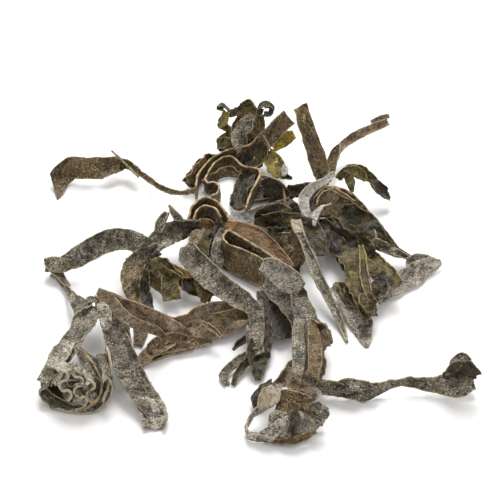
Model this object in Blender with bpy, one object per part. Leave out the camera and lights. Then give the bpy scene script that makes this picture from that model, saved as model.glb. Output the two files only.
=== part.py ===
"""A dried kelp frond: a loose tangle of flat straps that all grow from one crumpled blade base.

Each strap is a ribbon of even thickness, swept along a route of a few stations chosen by hand. A station is
(column, row, height, width, turn). Column and row say where a photograph of the frond shows the middle of the
strap, in its 500 x 500 frame. The view that took it is given below, so with the height above the table they
fix a point in space. Heights and widths are in mm. The turn, in degrees, rolls the strap about its run:
0 lies flat and 90 stands on edge.
"""
from math import cos, pi, radians, sin

import bpy
import numpy as np

MM = 0.001

# The view that the stations' columns and rows belong to.
VIEW_ELEVATION = radians(40)
VIEW_DISTANCE = 750.0
VIEW_TARGET = (1.5, 14.8, 0.0)
MM_PER_PIXEL = 0.4
PHOTO_MIDDLE = 250.0

STRAP_THICKNESS = 1.1
STEP = 3.0
TIGHT_STEP = 2.2
COLUMNS = 3
LEAST_WIDTH = 0.5

# How far a strap's middle sinks below its margins, and how far its margins ruffle, as shares of its width.
CUP_SHARE = 0.07
RUFFLE_SHARE = 0.06
RUFFLE_LENGTH = 12.0

# A strap lies flat where its middle is this near the table, in mm, and has its full shape above the second.
FLAT_BELOW = 0.6
FREE_ABOVE = 3.6

UPWARD = (0.0, 0.0, 1.0)
TO_VIEWER = (0.0, -1.0, 0.0)

# Colour and roughness of each kind of dried blade.
GREY_BLADE = ((0.16, 0.145, 0.115), 0.85)
BROWN_BLADE = ((0.10, 0.075, 0.042), 0.8)
OLIVE_BLADE = ((0.13, 0.105, 0.038), 0.75)
TAN_BLADE = ((0.24, 0.18, 0.10), 0.85)
SILVER_SKIN = ((0.52, 0.50, 0.46), 0.55)


def strap(name, look, route, up=UPWARD, step=STEP):
    """One strap: up is the direction that its width takes at a turn of 90 degrees."""
    return {"name": name, "look": look, "route": route, "up": up, "step": step}


STRAPS = [
    # The strap that reaches out to the far left on a thin stalk.
    strap("far_left_strap", BROWN_BLADE, [
        (196, 190, 8, 2.2, 60), (183, 193, 6, 2, 60), (172, 192, 5, 2, 50), (158, 186, 4.5, 2.2, 50),
        (142, 174, 4.5, 2.6, 50), (127, 164, 5, 4.5, 50), (114, 165, 6, 8, 50), (100, 168, 6, 9.4, 50),
        (84, 168, 6, 9.4, 50), (71, 168, 5.5, 9.4, 48), (61, 177, 3.2, 9.4, 30), (54, 189, 1.2, 8.5, 5),
    ]),
    strap("far_left_sliver", GREY_BLADE, [
        (112, 151, 11, 1.2, 50), (118, 157, 10, 2.4, 50), (127, 166, 8.5, 2.6, 50),
        (138, 177, 7.5, 1.2, 50),
    ]),
    # Two straps standing on edge that coil behind the middle, and two smaller hoops in front of them.
    strap("outer_coil_strap", BROWN_BLADE, [
        (289, 117, 17, 7, 50), (278, 127, 14.5, 7, 50), (268, 138, 11.5, 7, 55), (258, 145, 9, 7, 85),
        (247, 152, 7, 7, 90), (237, 154, 5.6, 7, 90), (226, 157, 4.6, 7, 90), (214, 163, 4, 7, 90),
        (205, 171, 3.6, 7, 90), (198, 181, 3.4, 7, 90), (196, 193, 3.4, 7, 90),
    ]),
    strap("inner_coil_strap", BROWN_BLADE, [
        (246, 214, 3.2, 6.5, 90), (248, 208, 3.2, 6.5, 90), (251, 200, 3.2, 6.5, 90),
        (256, 189, 3.2, 6.5, 90), (260, 180, 3.2, 6.5, 90), (258, 175, 3.2, 6.5, 90),
        (251, 173.5, 3.2, 6.5, 90), (243, 171.5, 3.2, 6.5, 90), (237, 166, 3.2, 6.5, 90),
        (231, 162, 3.2, 6.5, 90), (224, 162.5, 3.2, 6.5, 90), (215, 168.5, 3.2, 6.5, 90),
        (208, 178, 3.2, 6.5, 90), (205, 185, 3.2, 6.5, 90), (208, 189, 3.2, 6.5, 90),
        (214, 188, 3.2, 6.5, 90), (219, 192, 3.2, 6.5, 90), (217, 199, 3.2, 6.5, 90),
        (210, 203, 3.2, 6.5, 90),
    ], step=TIGHT_STEP),
    strap("small_coil_strap", BROWN_BLADE, [
        (189, 224, 9, 6, 90), (192, 213, 9, 6, 90), (199, 206, 9, 6, 90), (207, 203, 9, 6, 90),
        (216, 207, 9, 6, 90), (225, 217, 8, 6, 90), (230, 228, 6.5, 6, 90),
    ], step=TIGHT_STEP),
    strap("small_coil_inner_strap", BROWN_BLADE, [
        (194, 224, 8.6, 5, 90), (198, 214, 8.6, 5, 90), (205, 210, 8.6, 5, 90), (213, 212, 8.6, 5, 90),
        (221, 222, 8.6, 5, 90),
    ], step=TIGHT_STEP),
    # The hairpin in the middle, with the round grey ends that lie over it.
    strap("hairpin_strap", BROWN_BLADE, [
        (292, 276, 6.5, 6, 90), (284, 271, 7, 7, 90), (272, 264, 7.5, 8, 90), (255, 253, 8, 8, 90),
        (238, 243, 8, 8, 90), (228, 238, 8, 8, 90), (222, 243, 7.5, 8, 95), (226, 254, 7, 9, 105),
        (240, 262, 6.5, 10, 125), (256, 270, 6.5, 10, 125), (268, 279, 6, 8, 120),
    ]),
    strap("pale_end_strap", GREY_BLADE, [
        (262, 264, 14.5, 5, -50), (272, 268, 14, 9, -50), (284, 277, 13.5, 10, -50),
        (296, 285, 12, 9, -45), (302, 289, 11, 5, -45),
    ]),
    strap("round_grey_strap", GREY_BLADE, [
        (183, 252, 10, 4, -30), (189, 256, 10, 9, -35), (200, 268, 10.4, 9.6, -35),
        (215, 281, 11.4, 9.6, -35), (230, 292, 12.2, 9, -38), (245, 302, 11.4, 8, -38),
        (255, 312, 9.5, 6.5, -10), (257, 325, 7, 6, 0), (255, 340, 5, 5, 0),
    ]),
    # The broad leaf that narrows to a rolled tip, and the strap under it.
    strap("broad_leaf", TAN_BLADE, [
        (248, 306, 4, 4, 30), (238, 314, 4.2, 12, 30), (221, 320, 4.6, 15, 30), (203, 323, 5, 15, 30),
        (187, 327, 5.5, 10, 35), (172, 326, 7, 7, 45), (155, 319, 9, 6.5, 50), (138, 311, 11, 6.5, 50),
        (122, 304, 13, 5, 40), (109, 296, 14.5, 3.5, 30), (100, 291, 15, 2, 20),
    ]),
    strap("under_leaf_strap", BROWN_BLADE, [
        (193, 346, 0.5, 4, 0), (180, 348, 0.5, 6, 0), (165, 351, 0.5, 6.5, 0), (150, 357, 0.5, 6, 0),
        (139, 364, 0.5, 3, 0),
    ]),
    # The arch on the left, and the strap that runs from its foot into the curled rosette.
    strap("arch_strap", GREY_BLADE, [
        (146, 247, 12, 8, 45), (130, 240, 12.5, 8.6, 50), (115, 239, 12.5, 9, 50), (100, 244, 11.5, 9, 50),
        (86, 252, 9.5, 8.6, 50), (72, 260, 7, 7.5, 50), (60, 265, 5, 6, 45), (48, 265, 3.6, 5, 35),
    ]),
    strap("lower_left_strap", GREY_BLADE, [
        (53, 273, 0.7, 3, 90), (60, 279, 0.9, 2.6, 90), (66, 288, 2, 2.4, 90), (74, 299, 5, 4, 90),
        (84, 311, 8.5, 8, 90), (82, 324, 10, 8, 90), (70, 342, 10, 8, 90), (57, 361, 8.5, 8.5, 90),
        (44, 380, 5.5, 8.5, 90), (42, 391, 2.6, 8, 90), (54, 401, 0.7, 8, 90), (75, 407, 0.4, 8, 90),
        (95, 405, 0.7, 8, 90), (106, 396, 3.6, 8, 90), (111, 384, 8, 8, 90), (108, 368, 12, 7.5, 90),
        (102, 354, 14, 6, 90),
    ], up=TO_VIEWER),
    strap("rosette_inner_strap", GREY_BLADE, [
        (76, 347, 14, 4, 90), (84, 358, 12, 6.5, 90), (93, 368, 9.5, 7, 90), (99, 378, 6.5, 7, 90),
        (97, 388, 4.2, 7, 90), (90, 396, 2.8, 7, 90),
    ], up=TO_VIEWER, step=TIGHT_STEP),
    strap("rosette_frill", GREY_BLADE, [
        (57, 384, 7, 6, 90), (65, 371, 11, 7, 90), (74, 370, 12, 7, 90), (71, 380, 9, 7, 90),
        (80, 383, 9, 7, 90), (84, 392, 6, 7, 90), (75, 395, 4.4, 7, 90), (65, 392, 4.6, 6, 90),
    ], up=TO_VIEWER, step=TIGHT_STEP),
    # The crumpled straps between the arch and the middle.
    strap("left_cluster_strap", GREY_BLADE, [
        (206, 229, 9.5, 8, 60), (193, 229, 9.5, 8.5, 60), (180, 226, 9, 9, 50), (168, 229, 8.5, 9.5, 45),
        (157, 238, 7, 9.5, 35), (149, 248, 5, 7, 30),
    ]),
    strap("left_spike", GREY_BLADE, [
        (161, 228, 14, 4, 40), (165, 219, 15.5, 5, 40), (170, 212, 16.5, 3.5, 40),
        (171, 206, 17.5, 1.2, 40),
    ]),
    strap("left_frill_strap", GREY_BLADE, [
        (141, 257, 8, 6, 0), (134, 267, 8, 9.5, 0), (131, 279, 7, 9.5, 0), (131, 291, 5, 8.5, 0),
        (136, 304, 2.6, 5, 0), (140, 318, 0.9, 4.5, 0), (141, 332, 0.5, 5, 0), (138, 346, 0.5, 4, 0),
    ]),
    strap("olive_lobe", OLIVE_BLADE, [
        (146, 268, 6.5, 6, -40), (153, 273, 6.5, 9.5, -45), (163, 280, 6, 10.5, -50),
        (173, 285, 5.5, 10.5, -50), (180, 287, 5, 8, -50),
    ]),
    strap("olive_fold_strap", OLIVE_BLADE, [
        (183, 284, 3.9, 5, -60), (190, 285, 3.8, 6.5, -60), (198, 288, 3.6, 7, -60),
        (206, 295, 3, 4.5, -40),
    ]),
    strap("front_left_strap", GREY_BLADE, [
        (110, 318, 12, 6, 0), (114, 332, 12, 9, 0), (120, 350, 10.5, 10, 0), (128, 370, 8, 10, 0),
        (138, 388, 5, 10, 0), (149, 406, 2.2, 9.5, 0), (160, 424, 0.5, 6, 0),
    ]),
    strap("left_knob", TAN_BLADE, [
        (98, 295, 9, 2.5, 0), (103, 304, 9.5, 5.5, 0), (107, 315, 9, 6.5, 0), (106, 327, 7.5, 4, 0),
    ]),
    # The ragged frills that stand behind the coil.
    strap("back_sheet", OLIVE_BLADE, [
        (246, 149, 5.5, 11, 0), (245, 138, 10, 13.5, 0), (244, 126, 14.5, 14, 0), (244.5, 116, 18, 11, 0),
        (246.5, 107, 21, 7.5, 0), (250, 98, 24, 2, 0),
    ]),
    strap("back_left_frill", OLIVE_BLADE, [
        (226, 152, 4.5, 5, 0), (223, 142, 8, 6.5, 0), (226, 132, 11, 5, 0), (223, 121, 14.5, 5.5, 0),
        (225, 110, 18, 5, 0), (222, 104, 20, 3, 0),
    ]),
    strap("back_right_curl", OLIVE_BLADE, [
        (260, 117, 19, 4, 90), (262, 109, 21.5, 5, 90), (267, 105, 23, 5, 90), (271, 110, 21.5, 5, 90),
        (267, 115, 20.5, 4, 90),
    ], up=TO_VIEWER, step=TIGHT_STEP),
    strap("yellow_flap", OLIVE_BLADE, [
        (269, 150, 6, 5, -50), (279, 143, 7.5, 7, -50), (288, 136, 9, 6, -50),
    ]),
    strap("back_olive_strap", OLIVE_BLADE, [
        (269, 150, 7.2, 4, 0), (272, 159, 6.6, 7.5, 0), (276, 168, 6, 8, -10), (283, 176, 5.5, 5, -30),
        (292, 178, 5.4, 1.5, -50),
    ]),
    strap("coil_back_lobe", BROWN_BLADE, [
        (211, 160, 3.4, 5, 60), (203, 165, 3.8, 7, 60), (195, 173, 3.8, 7, 60), (186, 185, 3, 6, 60),
    ]),
    # The middle of the clump: the blade base, and the folds that crowd around it.
    strap("coil_right_wall", BROWN_BLADE, [
        (258, 190, 6.6, 12, 90), (266, 191, 7, 14, 90), (274, 193, 7, 13.5, 90), (281, 197, 6.6, 12, 90),
        (285, 204, 5, 8, 90),
    ]),
    strap("pale_crinkle_strap", SILVER_SKIN, [
        (280, 212, 3.6, 4, 30), (272, 213, 3.6, 6, 30), (260, 218, 3.2, 7, 30), (247, 223, 2.6, 6.5, 30),
        (236, 222, 2.2, 6, 25), (228, 215, 2, 3, 20),
    ]),
    strap("gold_fold", OLIVE_BLADE, [
        (213, 228, 3.6, 3, 0), (211, 238, 4.6, 5, 0), (209, 250, 5, 6, 0), (206, 262, 4.6, 3, 0),
    ]),
    strap("centre_back_strap", BROWN_BLADE, [
        (288, 191, 6, 5, -50), (298, 191, 8, 5.5, -50), (307, 189, 9.5, 5, -50),
    ]),
    strap("crumpled_blade", BROWN_BLADE, [
        (254, 232, 5, 9, -30), (266, 232, 7, 14, -35), (280, 229, 9, 15, -35), (295, 230, 9.5, 14, -35),
        (310, 236, 8.5, 13, -35), (320, 243, 7, 8, -35),
    ]),
    strap("centre_band", BROWN_BLADE, [
        (233, 230, 4, 6, -40), (248, 236, 5.5, 10, -40), (264, 243, 6, 11, -45), (282, 250, 6, 10, -50),
        (296, 254, 5.5, 8.5, -55), (306, 258, 5, 6, -50),
    ]),
    strap("blade_base", BROWN_BLADE, [
        (228, 257, 0.5, 14, 0), (250, 262, 0.5, 22, 0), (276, 266, 0.5, 23, 0), (300, 268, 0.5, 15, 0),
    ]),
    # The long straps that run to the front right.
    strap("long_diagonal_strap", GREY_BLADE, [
        (294, 222, 15, 5.5, 0), (301, 236, 14.5, 5, -10), (308, 252, 12, 4.6, -10),
        (315, 271, 9, 4.6, -10), (325, 292, 6, 4.6, 0), (336, 314, 2.8, 4.4, 0), (343, 330, 0.9, 3, 0),
        (347, 342, 0.5, 1, 0),
    ]),
    strap("pale_tip_strap", GREY_BLADE, [
        (332, 287, 4, 3, 0), (343, 297, 3.2, 6.5, 0), (353, 309, 2.4, 9, 0), (360, 321, 1.5, 10, 0),
        (364, 334, 0.6, 7, 0), (367, 347, 0.5, 1, 0),
    ]),
    # The strap that stands up at the back, and the thin branches beside it.
    strap("tall_strap", BROWN_BLADE, [
        (323, 182, 9, 5.5, 0), (319, 170, 13, 6.2, 0), (314, 154, 18, 6.6, 0), (309, 138, 24, 6.6, 0),
        (303, 119, 30, 6.6, 0), (297, 104, 35, 6.6, 0),
    ]),
    strap("small_leaf", BROWN_BLADE, [
        (328, 180, 8, 2, 0), (330, 171, 10.5, 4.6, 0), (333, 161, 13, 5.4, 0), (336, 151, 16, 4, 0),
        (339, 145, 18, 1.2, 0),
    ]),
    strap("back_right_stem", BROWN_BLADE, [
        (326, 187, 5, 2.4, 0), (330, 173, 5.5, 2.6, 0), (334, 159, 6, 2.8, 0), (341, 145, 7, 3, -20),
        (352, 136, 8, 2.8, -40), (365, 128, 8.5, 3, -40), (378, 121, 9, 3.2, -40), (388, 117, 9, 2.6, -40),
    ]),
    strap("right_hanging_strap", OLIVE_BLADE, [
        (338, 179, 9, 3, -40), (345, 171, 12, 4, -40), (354, 168, 13, 4.5, -50), (364, 172, 12, 4.6, -50),
        (372, 180, 9.5, 4.6, -30), (379, 189, 6.5, 4.4, -20), (386, 196, 4, 3, -20),
    ]),
    strap("hanging_lobe", OLIVE_BLADE, [
        (346, 176, 8.5, 3, 0), (350, 184, 6.5, 4, 0), (352, 193, 4.5, 1.2, 0),
    ]),
    # The silvery crescent, and the broad strap on the right with what hangs from it.
    strap("pale_crescent_strap", SILVER_SKIN, [
        (334, 173, 15, 1.6, 50), (323, 182, 14.5, 3, 50), (312, 188, 14, 4, 50), (304, 198, 13, 4.6, 30),
        (305, 210, 12, 4, 10), (313, 222, 11, 2, -30),
    ]),
    strap("right_broad_strap", BROWN_BLADE, [
        (318, 204, 9, 9, -55), (330, 206, 10, 13, -50), (344, 212, 10.5, 13, -45), (358, 222, 10, 13, -40),
        (372, 233, 9, 11, -40), (385, 244, 7, 8, -40), (397, 253, 5, 5, -30), (411, 258, 3, 2, -20),
    ]),
    strap("right_tip_strap", TAN_BLADE, [
        (441, 262, 2.5, 2, 45), (432, 265, 3, 6, 48), (418, 272, 3.4, 8.5, 50), (403, 280, 3.5, 8.6, 50),
        (389, 288, 3.5, 8.4, 50), (375, 297, 3.4, 7, 45),
    ]),
    strap("right_slim_strap", OLIVE_BLADE, [
        (361, 245, 2, 3.5, -20), (369, 253, 3, 4.6, -20), (378, 262, 5.8, 5.4, -20),
        (389, 272, 8.6, 5.6, -20), (399, 286, 8.5, 4.5, -20),
    ]),
    strap("olive_crumple_strap", OLIVE_BLADE, [
        (334, 228, 2.4, 4, 0), (341, 241, 4.8, 7, 0), (348, 256, 7, 9.5, 0), (355, 273, 8, 10.5, 0),
        (360, 290, 7.8, 9.5, 0), (365, 305, 6.4, 9, 0), (369, 318, 4.8, 5, 0),
    ]),
    strap("olive_fin", OLIVE_BLADE, [
        (334, 284, 5.4, 1.5, 0), (343, 288, 5, 5, 0), (352, 298, 4.4, 7, 0), (359, 307, 3.8, 5, 0),
    ]),
    # The straps that come down the front, and the loop that they end in.
    strap("front_cross_strap", GREY_BLADE, [
        (262, 290, 3.6, 6, -35), (272, 299, 5, 9, -35), (283, 311, 6.5, 10, -30), (292, 325, 7, 8, -20),
    ]),
    strap("front_centre_strap", GREY_BLADE, [
        (299, 298, 12, 7, 0), (304, 313, 12.5, 9, 0), (308, 331, 12, 10, 0), (308, 350, 10.5, 10.4, 0),
        (307, 368, 8.5, 10.4, 0), (303, 384, 7, 9.5, 0), (301, 395, 6, 7, 0),
    ]),
    strap("front_side_fin", BROWN_BLADE, [
        (313, 323, 6, 5, 0), (319, 334, 6, 8, 0), (320, 346, 5, 8, 0), (315, 357, 4, 4, 0),
    ]),
    strap("front_loop_strap", GREY_BLADE, [
        (279, 386, 8.5, 4, 0), (271, 396, 7.5, 6.4, 20), (263, 407, 6, 3, 40), (252, 415, 4.4, 2.4, 70),
        (245, 426, 2.8, 3.2, 90), (247, 436, 2.2, 3.8, 90), (258, 438, 2.6, 4.6, 95),
        (271, 436, 3.6, 7.5, 110), (287, 430, 4.8, 11, 125), (303, 424, 5.2, 11, 125),
        (315, 416, 5.6, 9.5, 125), (323, 413, 6, 7, 125),
    ]),
    strap("front_dark_lobe", BROWN_BLADE, [
        (268, 381, 6, 3.5, 0), (260, 389, 4.6, 6, 0), (256, 399, 3, 4.6, 0), (257, 407, 1.8, 1.5, 0),
    ]),
    strap("front_crumple", GREY_BLADE, [
        (283, 397, 7, 6, -20), (293, 402, 7.5, 9, -20), (304, 404, 7.5, 9, -20), (312, 402, 7, 6, -20),
    ]),
    # The split fingers at the front.
    strap("finger_body", OLIVE_BLADE, [
        (262, 345, 3.6, 7, 0), (260, 356, 2.8, 9.5, 0), (258, 368, 1.8, 7.5, 0), (257, 381, 0.5, 1.6, 0),
    ]),
    strap("upper_finger", GREY_BLADE, [
        (249, 334, 4.5, 2.6, 0), (242, 341, 3.4, 2.4, 0), (234, 349, 2.2, 1.4, 0),
    ]),
    strap("lower_finger", GREY_BLADE, [
        (244, 355, 2.6, 3, 0), (237, 361, 2, 3.8, 0), (227, 371, 1.2, 4, 0), (224, 380, 0.5, 3, 0),
        (229, 386, 0.5, 1.2, 0),
    ]),
    # The strap that lies out to the front right, with its curled end.
    strap("front_right_strap", GREY_BLADE, [
        (322, 387, 3.4, 6, -60), (336, 388, 3.4, 6, -60), (350, 390, 3.2, 6.8, -60),
        (364, 392, 3.3, 7.5, -60), (377, 389, 3.2, 5, -60), (388, 384.5, 3.8, 3.4, -60),
        (400, 382, 4.2, 2.6, -60), (413, 382, 4, 4, -60), (426, 384, 3.4, 5.6, -60),
        (438, 384, 3.5, 7.6, -58), (451, 384, 4.3, 10.5, -56), (463, 381, 4.6, 11, -54),
        (473, 379, 4.6, 8, -52),
    ]),
    strap("front_right_curl", GREY_BLADE, [
        (453, 370, 10, 3, 0), (456, 363, 11.4, 5, 0), (463, 358, 12.4, 4.5, -30),
        (471, 361, 12.2, 1.6, -50),
    ]),
]


def clear_scene():
    for thing in list(bpy.data.objects):
        bpy.data.objects.remove(thing, do_unlink=True)


def place(column, row, height):
    """The point, in mm, that the view shows at this column and row and that lies height above the table."""
    forward = np.array([0.0, cos(VIEW_ELEVATION), -sin(VIEW_ELEVATION)])
    upward = np.array([0.0, sin(VIEW_ELEVATION), cos(VIEW_ELEVATION)])
    rightward = np.array([1.0, 0.0, 0.0])
    eye = np.array(VIEW_TARGET) - forward * VIEW_DISTANCE
    slope = MM_PER_PIXEL / VIEW_DISTANCE
    ray = forward + rightward * (column - PHOTO_MIDDLE) * slope + upward * (PHOTO_MIDDLE - row) * slope
    return eye + ray * (height - eye[2]) / ray[2]


def unit(vectors):
    return vectors / np.maximum(np.linalg.norm(vectors, axis=-1, keepdims=True), 1e-9)


def smooth_curve(knots, values, at):
    """A cubic curve through the values at the knots, read at the places at."""
    gaps = np.diff(knots)[:, None]
    rises = np.diff(values, axis=0) / gaps
    slopes = np.zeros_like(values)
    slopes[1:-1] = (rises[:-1] * gaps[1:] + rises[1:] * gaps[:-1]) / (gaps[:-1] + gaps[1:])
    slopes[0] = rises[0]
    slopes[-1] = rises[-1]
    first = np.clip(np.searchsorted(knots, at, "right") - 1, 0, len(knots) - 2)
    span = (knots[first + 1] - knots[first])[:, None]
    t = (at[:, None] - knots[first][:, None]) / span
    return (
        (2 * t**3 - 3 * t**2 + 1) * values[first]
        + (t**3 - 2 * t**2 + t) * span * slopes[first]
        + (3 * t**2 - 2 * t**3) * values[first + 1]
        + (t**3 - t**2) * span * slopes[first + 1]
    )


def middle_line(route, step):
    """Evenly spaced points along a route, with the width and the turn at each and the distance run."""
    points = np.array([place(column, row, height) for column, row, height, _, _ in route])
    shape = np.array([(width, turn) for *_, width, turn in route], float)
    knots = np.concatenate([[0.0], np.cumsum(np.linalg.norm(np.diff(points, axis=0), axis=1))])
    fine = np.linspace(0, knots[-1], 400)
    curve = smooth_curve(knots, points, fine)
    run = np.concatenate([[0.0], np.cumsum(np.linalg.norm(np.diff(curve, axis=0), axis=1))])
    count = max(4, round(run[-1] / step) + 1)
    distance = np.linspace(0, run[-1], count)
    line = smooth_curve(knots, np.hstack([points, shape]), np.interp(distance, run, fine))
    return line[:, :3], np.maximum(line[:, 3], LEAST_WIDTH), np.radians(line[:, 4]), distance


def lift_of(heights, widths, turns, distance, share):
    """How far each point of the sheet stands out of its plane: a cup, and ruffled margins; less where on edge."""
    free = np.clip((heights[:, None] - FLAT_BELOW) / (FREE_ABOVE - FLAT_BELOW), 0, 1)
    on_edge = np.sin(turns)[:, None] ** 2
    cup = CUP_SHARE * (1 - share**2) * (1 - 0.7 * on_edge)
    left = np.sin(2 * pi * distance / RUFFLE_LENGTH + 1.0)[:, None]
    right = np.sin(2 * pi * distance / (0.8 * RUFFLE_LENGTH) + 2.5)[:, None]
    ruffle = RUFFLE_SHARE * np.abs(share) * np.where(share < 0, left, right) * (1 - 0.8 * on_edge)
    return widths[:, None] * (ruffle - cup) * free


def middle_sheet(piece):
    """The sheet halfway through a strap, as a grid of points along and across it."""
    line, widths, turns, distance = middle_line(piece["route"], piece["step"])
    ahead = unit(np.gradient(line, axis=0))
    sideways = unit(np.cross(ahead, piece["up"]))
    rise = np.cross(sideways, ahead)
    across = sideways * np.cos(turns)[:, None] + rise * np.sin(turns)[:, None]
    face = np.cross(across, ahead)
    share = np.linspace(-1, 1, COLUMNS)
    offsets = widths[:, None] / 2 * share
    lifts = lift_of(line[:, 2], widths, turns, distance, share)
    sheet = line[:, None] + across[:, None] * offsets[..., None] + face[:, None] * lifts[..., None]
    sheet[..., 2] = np.maximum(sheet[..., 2], STRAP_THICKNESS / 2)
    return sheet


def skin_points(sheet):
    """Both skins of a strap, as one ring of points around each cross section; none is below the table."""
    normals = unit(np.cross(np.gradient(sheet, axis=1), np.gradient(sheet, axis=0)))
    upper = sheet + normals * STRAP_THICKNESS / 2
    lower = sheet - normals * STRAP_THICKNESS / 2
    rings = np.concatenate([upper, lower[:, ::-1]], axis=1)
    rings[..., 2] = np.maximum(rings[..., 2], 0.0)
    return rings


def skin_quads(rows):
    """The faces around and along the rings, and those that close both ends."""
    ring = 2 * COLUMNS
    quads = []
    for row in range(rows - 1):
        for place_in_ring in range(ring):
            after = (place_in_ring + 1) % ring
            near = row * ring
            far = near + ring
            quads.append((near + place_in_ring, near + after, far + after, far + place_in_ring))
    last = (rows - 1) * ring
    for column in range(COLUMNS - 1):
        below = ring - 1 - column
        quads.append((column, below, below - 1, column + 1))
        quads.append((last + column, last + column + 1, last + below - 1, last + below))
    return quads


def cut_quads(points, quads):
    """Two triangles from each face, cut along its shorter diagonal, all facing out."""
    triangles = []
    for a, b, c, d in quads:
        if np.linalg.norm(points[a] - points[c]) <= np.linalg.norm(points[b] - points[d]):
            triangles += [(a, b, c), (a, c, d)]
        else:
            triangles += [(a, b, d), (b, c, d)]
    corners = points[np.array(triangles)]
    volume = np.einsum("ij,ij->i", corners[:, 0], np.cross(corners[:, 1], corners[:, 2])).sum()
    if volume < 0:
        triangles = [triangle[::-1] for triangle in triangles]
    return triangles


def blade_material(name, look):
    colour, roughness = look
    material = bpy.data.materials.new(name)
    material.use_nodes = True
    shader = material.node_tree.nodes["Principled BSDF"]
    shader.inputs["Base Color"].default_value = (*colour, 1.0)
    shader.inputs["Roughness"].default_value = roughness
    shader.inputs["Metallic"].default_value = 0.0
    material.diffuse_color = (*colour, 1.0)
    return material


def build_strap(piece):
    sheet = middle_sheet(piece)
    rings = skin_points(sheet)
    points = rings.reshape(-1, 3)
    triangles = cut_quads(points, skin_quads(len(rings)))
    mesh = bpy.data.meshes.new(piece["name"])
    mesh.from_pydata((points * MM).tolist(), [], triangles)
    mesh.materials.append(blade_material(piece["name"], piece["look"]))
    mesh.shade_smooth()
    mesh.set_sharp_from_angle(angle=radians(40))
    made = bpy.data.objects.new(piece["name"], mesh)
    bpy.context.scene.collection.objects.link(made)
    return made


clear_scene()
for piece in STRAPS:
    build_strap(piece)
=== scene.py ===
"""The look of a dried, tangled kelp frond: every strap of the frame gets a fine, crinkled, salt-specked skin.

Each strap is a ribbon swept along a route, a short list of stations, each (column, row, height, width,
turn). Column and row say where the photograph shows the middle of the strap, in its 500 x 500 frame.
Heights and widths are in mm, and the turn rolls the strap about its run, in degrees. Most straps repeat
the route of their solid in the frame, and some run up to a few mm off it, where the photograph shows
them. Lengths are in mm unless a name or a comment says otherwise.
"""
from math import atan, cos, pi, radians, sin

import bpy
import numpy as np
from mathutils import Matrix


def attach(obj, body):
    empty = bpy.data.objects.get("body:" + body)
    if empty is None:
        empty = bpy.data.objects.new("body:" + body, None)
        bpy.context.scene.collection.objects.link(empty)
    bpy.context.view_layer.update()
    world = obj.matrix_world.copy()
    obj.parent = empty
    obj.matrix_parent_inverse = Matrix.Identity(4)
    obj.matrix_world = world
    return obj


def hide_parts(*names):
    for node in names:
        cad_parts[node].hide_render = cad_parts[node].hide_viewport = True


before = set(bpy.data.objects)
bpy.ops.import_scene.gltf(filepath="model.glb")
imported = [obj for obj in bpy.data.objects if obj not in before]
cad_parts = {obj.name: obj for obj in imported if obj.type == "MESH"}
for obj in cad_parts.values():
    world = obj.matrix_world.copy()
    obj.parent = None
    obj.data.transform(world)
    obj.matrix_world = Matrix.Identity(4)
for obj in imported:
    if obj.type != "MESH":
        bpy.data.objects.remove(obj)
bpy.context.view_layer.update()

MM = 0.001

# The view that the stations' columns and rows belong to, which is the camera's too.
VIEW_ELEVATION = radians(40)
VIEW_DISTANCE = 750.0
VIEW_TARGET = (1.5, 14.8, 0.0)
MM_PER_PIXEL = 0.4
PHOTO_MIDDLE = 250.0

# The grid of points that each sheet is made of. Its middle stays at the least height or above, and no point
# of its skins is lower than the lowest.
FINE_STEP = 0.5
FEWEST_ROWS = 8
FEWEST_COLUMNS = 9
MOST_COLUMNS = 34
CURVE_SAMPLES = 400
LEAST_WIDTH = 0.5
LEAST_HEIGHT = 0.5
LOWEST = 0.02

# Straps narrower than these have smaller folds and ragged margins, and smaller crumples and ruffles.
FULL_FOLD_WIDTH = 6
FULL_CRUMPLE_WIDTH = 7

# Each margin's curl starts at this share of the half width. Ends are torn and slanted over these lengths.
CURL_START = 0.62
TEAR_REACH = 4
SLANT_REACH = 9

# Noise for the far margin is read this much further along, so that the two margins differ.
FAR_MARGIN = 7.3

# The width of the pale line along a cut margin.
RIM_WIDTH = 0.5

# Each strap's seed follows from its number in the lists.
FIRST_SEED = 100
SEED_STEP = 13

# The creases that Geometry Nodes makes: the sizes of their bumps, and the angles in degrees between them
# and a strap's run, which the straps take in turn.
CRUMPLE_SIZE = 3.6
CREASE_SIZE = 2.6
CREASE_TURNS = (80, 40, 12, -35, 62, -12, -70)

GRAINS_PER_SQUARE_MM = 0.12
GRAIN_RADIUS = 0.14

UPWARD = (0.0, 0.0, 1.0)
TO_VIEWER = (0.0, -1.0, 0.0)

# How a strap's sheet is shaped. In mm: its thickness, the ruffle of its margins and that ruffle's length,
# how ragged the margins are, how far the sheet crumples out of its plane, the height of its fine creases,
# and how far its ends are torn. In degrees: the cup that turns each margin out of the sheet, the curl of
# the last of the margin, and its lengthwise folds. Curled is how much of the length has that curl, from
# none at -1 to all at 1, and rim is how strongly the pale cut margin shows. Kinked is how sharply it folds
# at each station, from 0 to 1.
CALM = {
    "thick": 0.6, "ruffle": 0.5, "wave": 13.0, "ragged": 0.35, "crumple": 0.6, "crease": 0.6, "tear": 0.3,
    "cup": 24.0, "curl": 70.0, "curled": 0.0, "folds": 24.0, "rim": 0.7, "kinked": 0.6,
}
ON_EDGE = {
    "thick": 0.95, "ruffle": 0.12, "wave": 12.0, "ragged": 0.2, "crumple": 0.15, "crease": 0.35, "tear": 0.3,
    "cup": 4.0, "curl": 0.0, "curled": 0.0, "folds": 6.0, "rim": 1.0, "kinked": 0.15,
}
FRILLED = {
    "thick": 0.55, "ruffle": 1.4, "wave": 7.0, "ragged": 0.8, "crumple": 0.9, "crease": 0.7, "tear": 0.8,
    "cup": 20.0, "curl": 90.0, "curled": 0.0, "folds": 38.0, "rim": 0.6, "kinked": 0.7,
}
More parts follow.
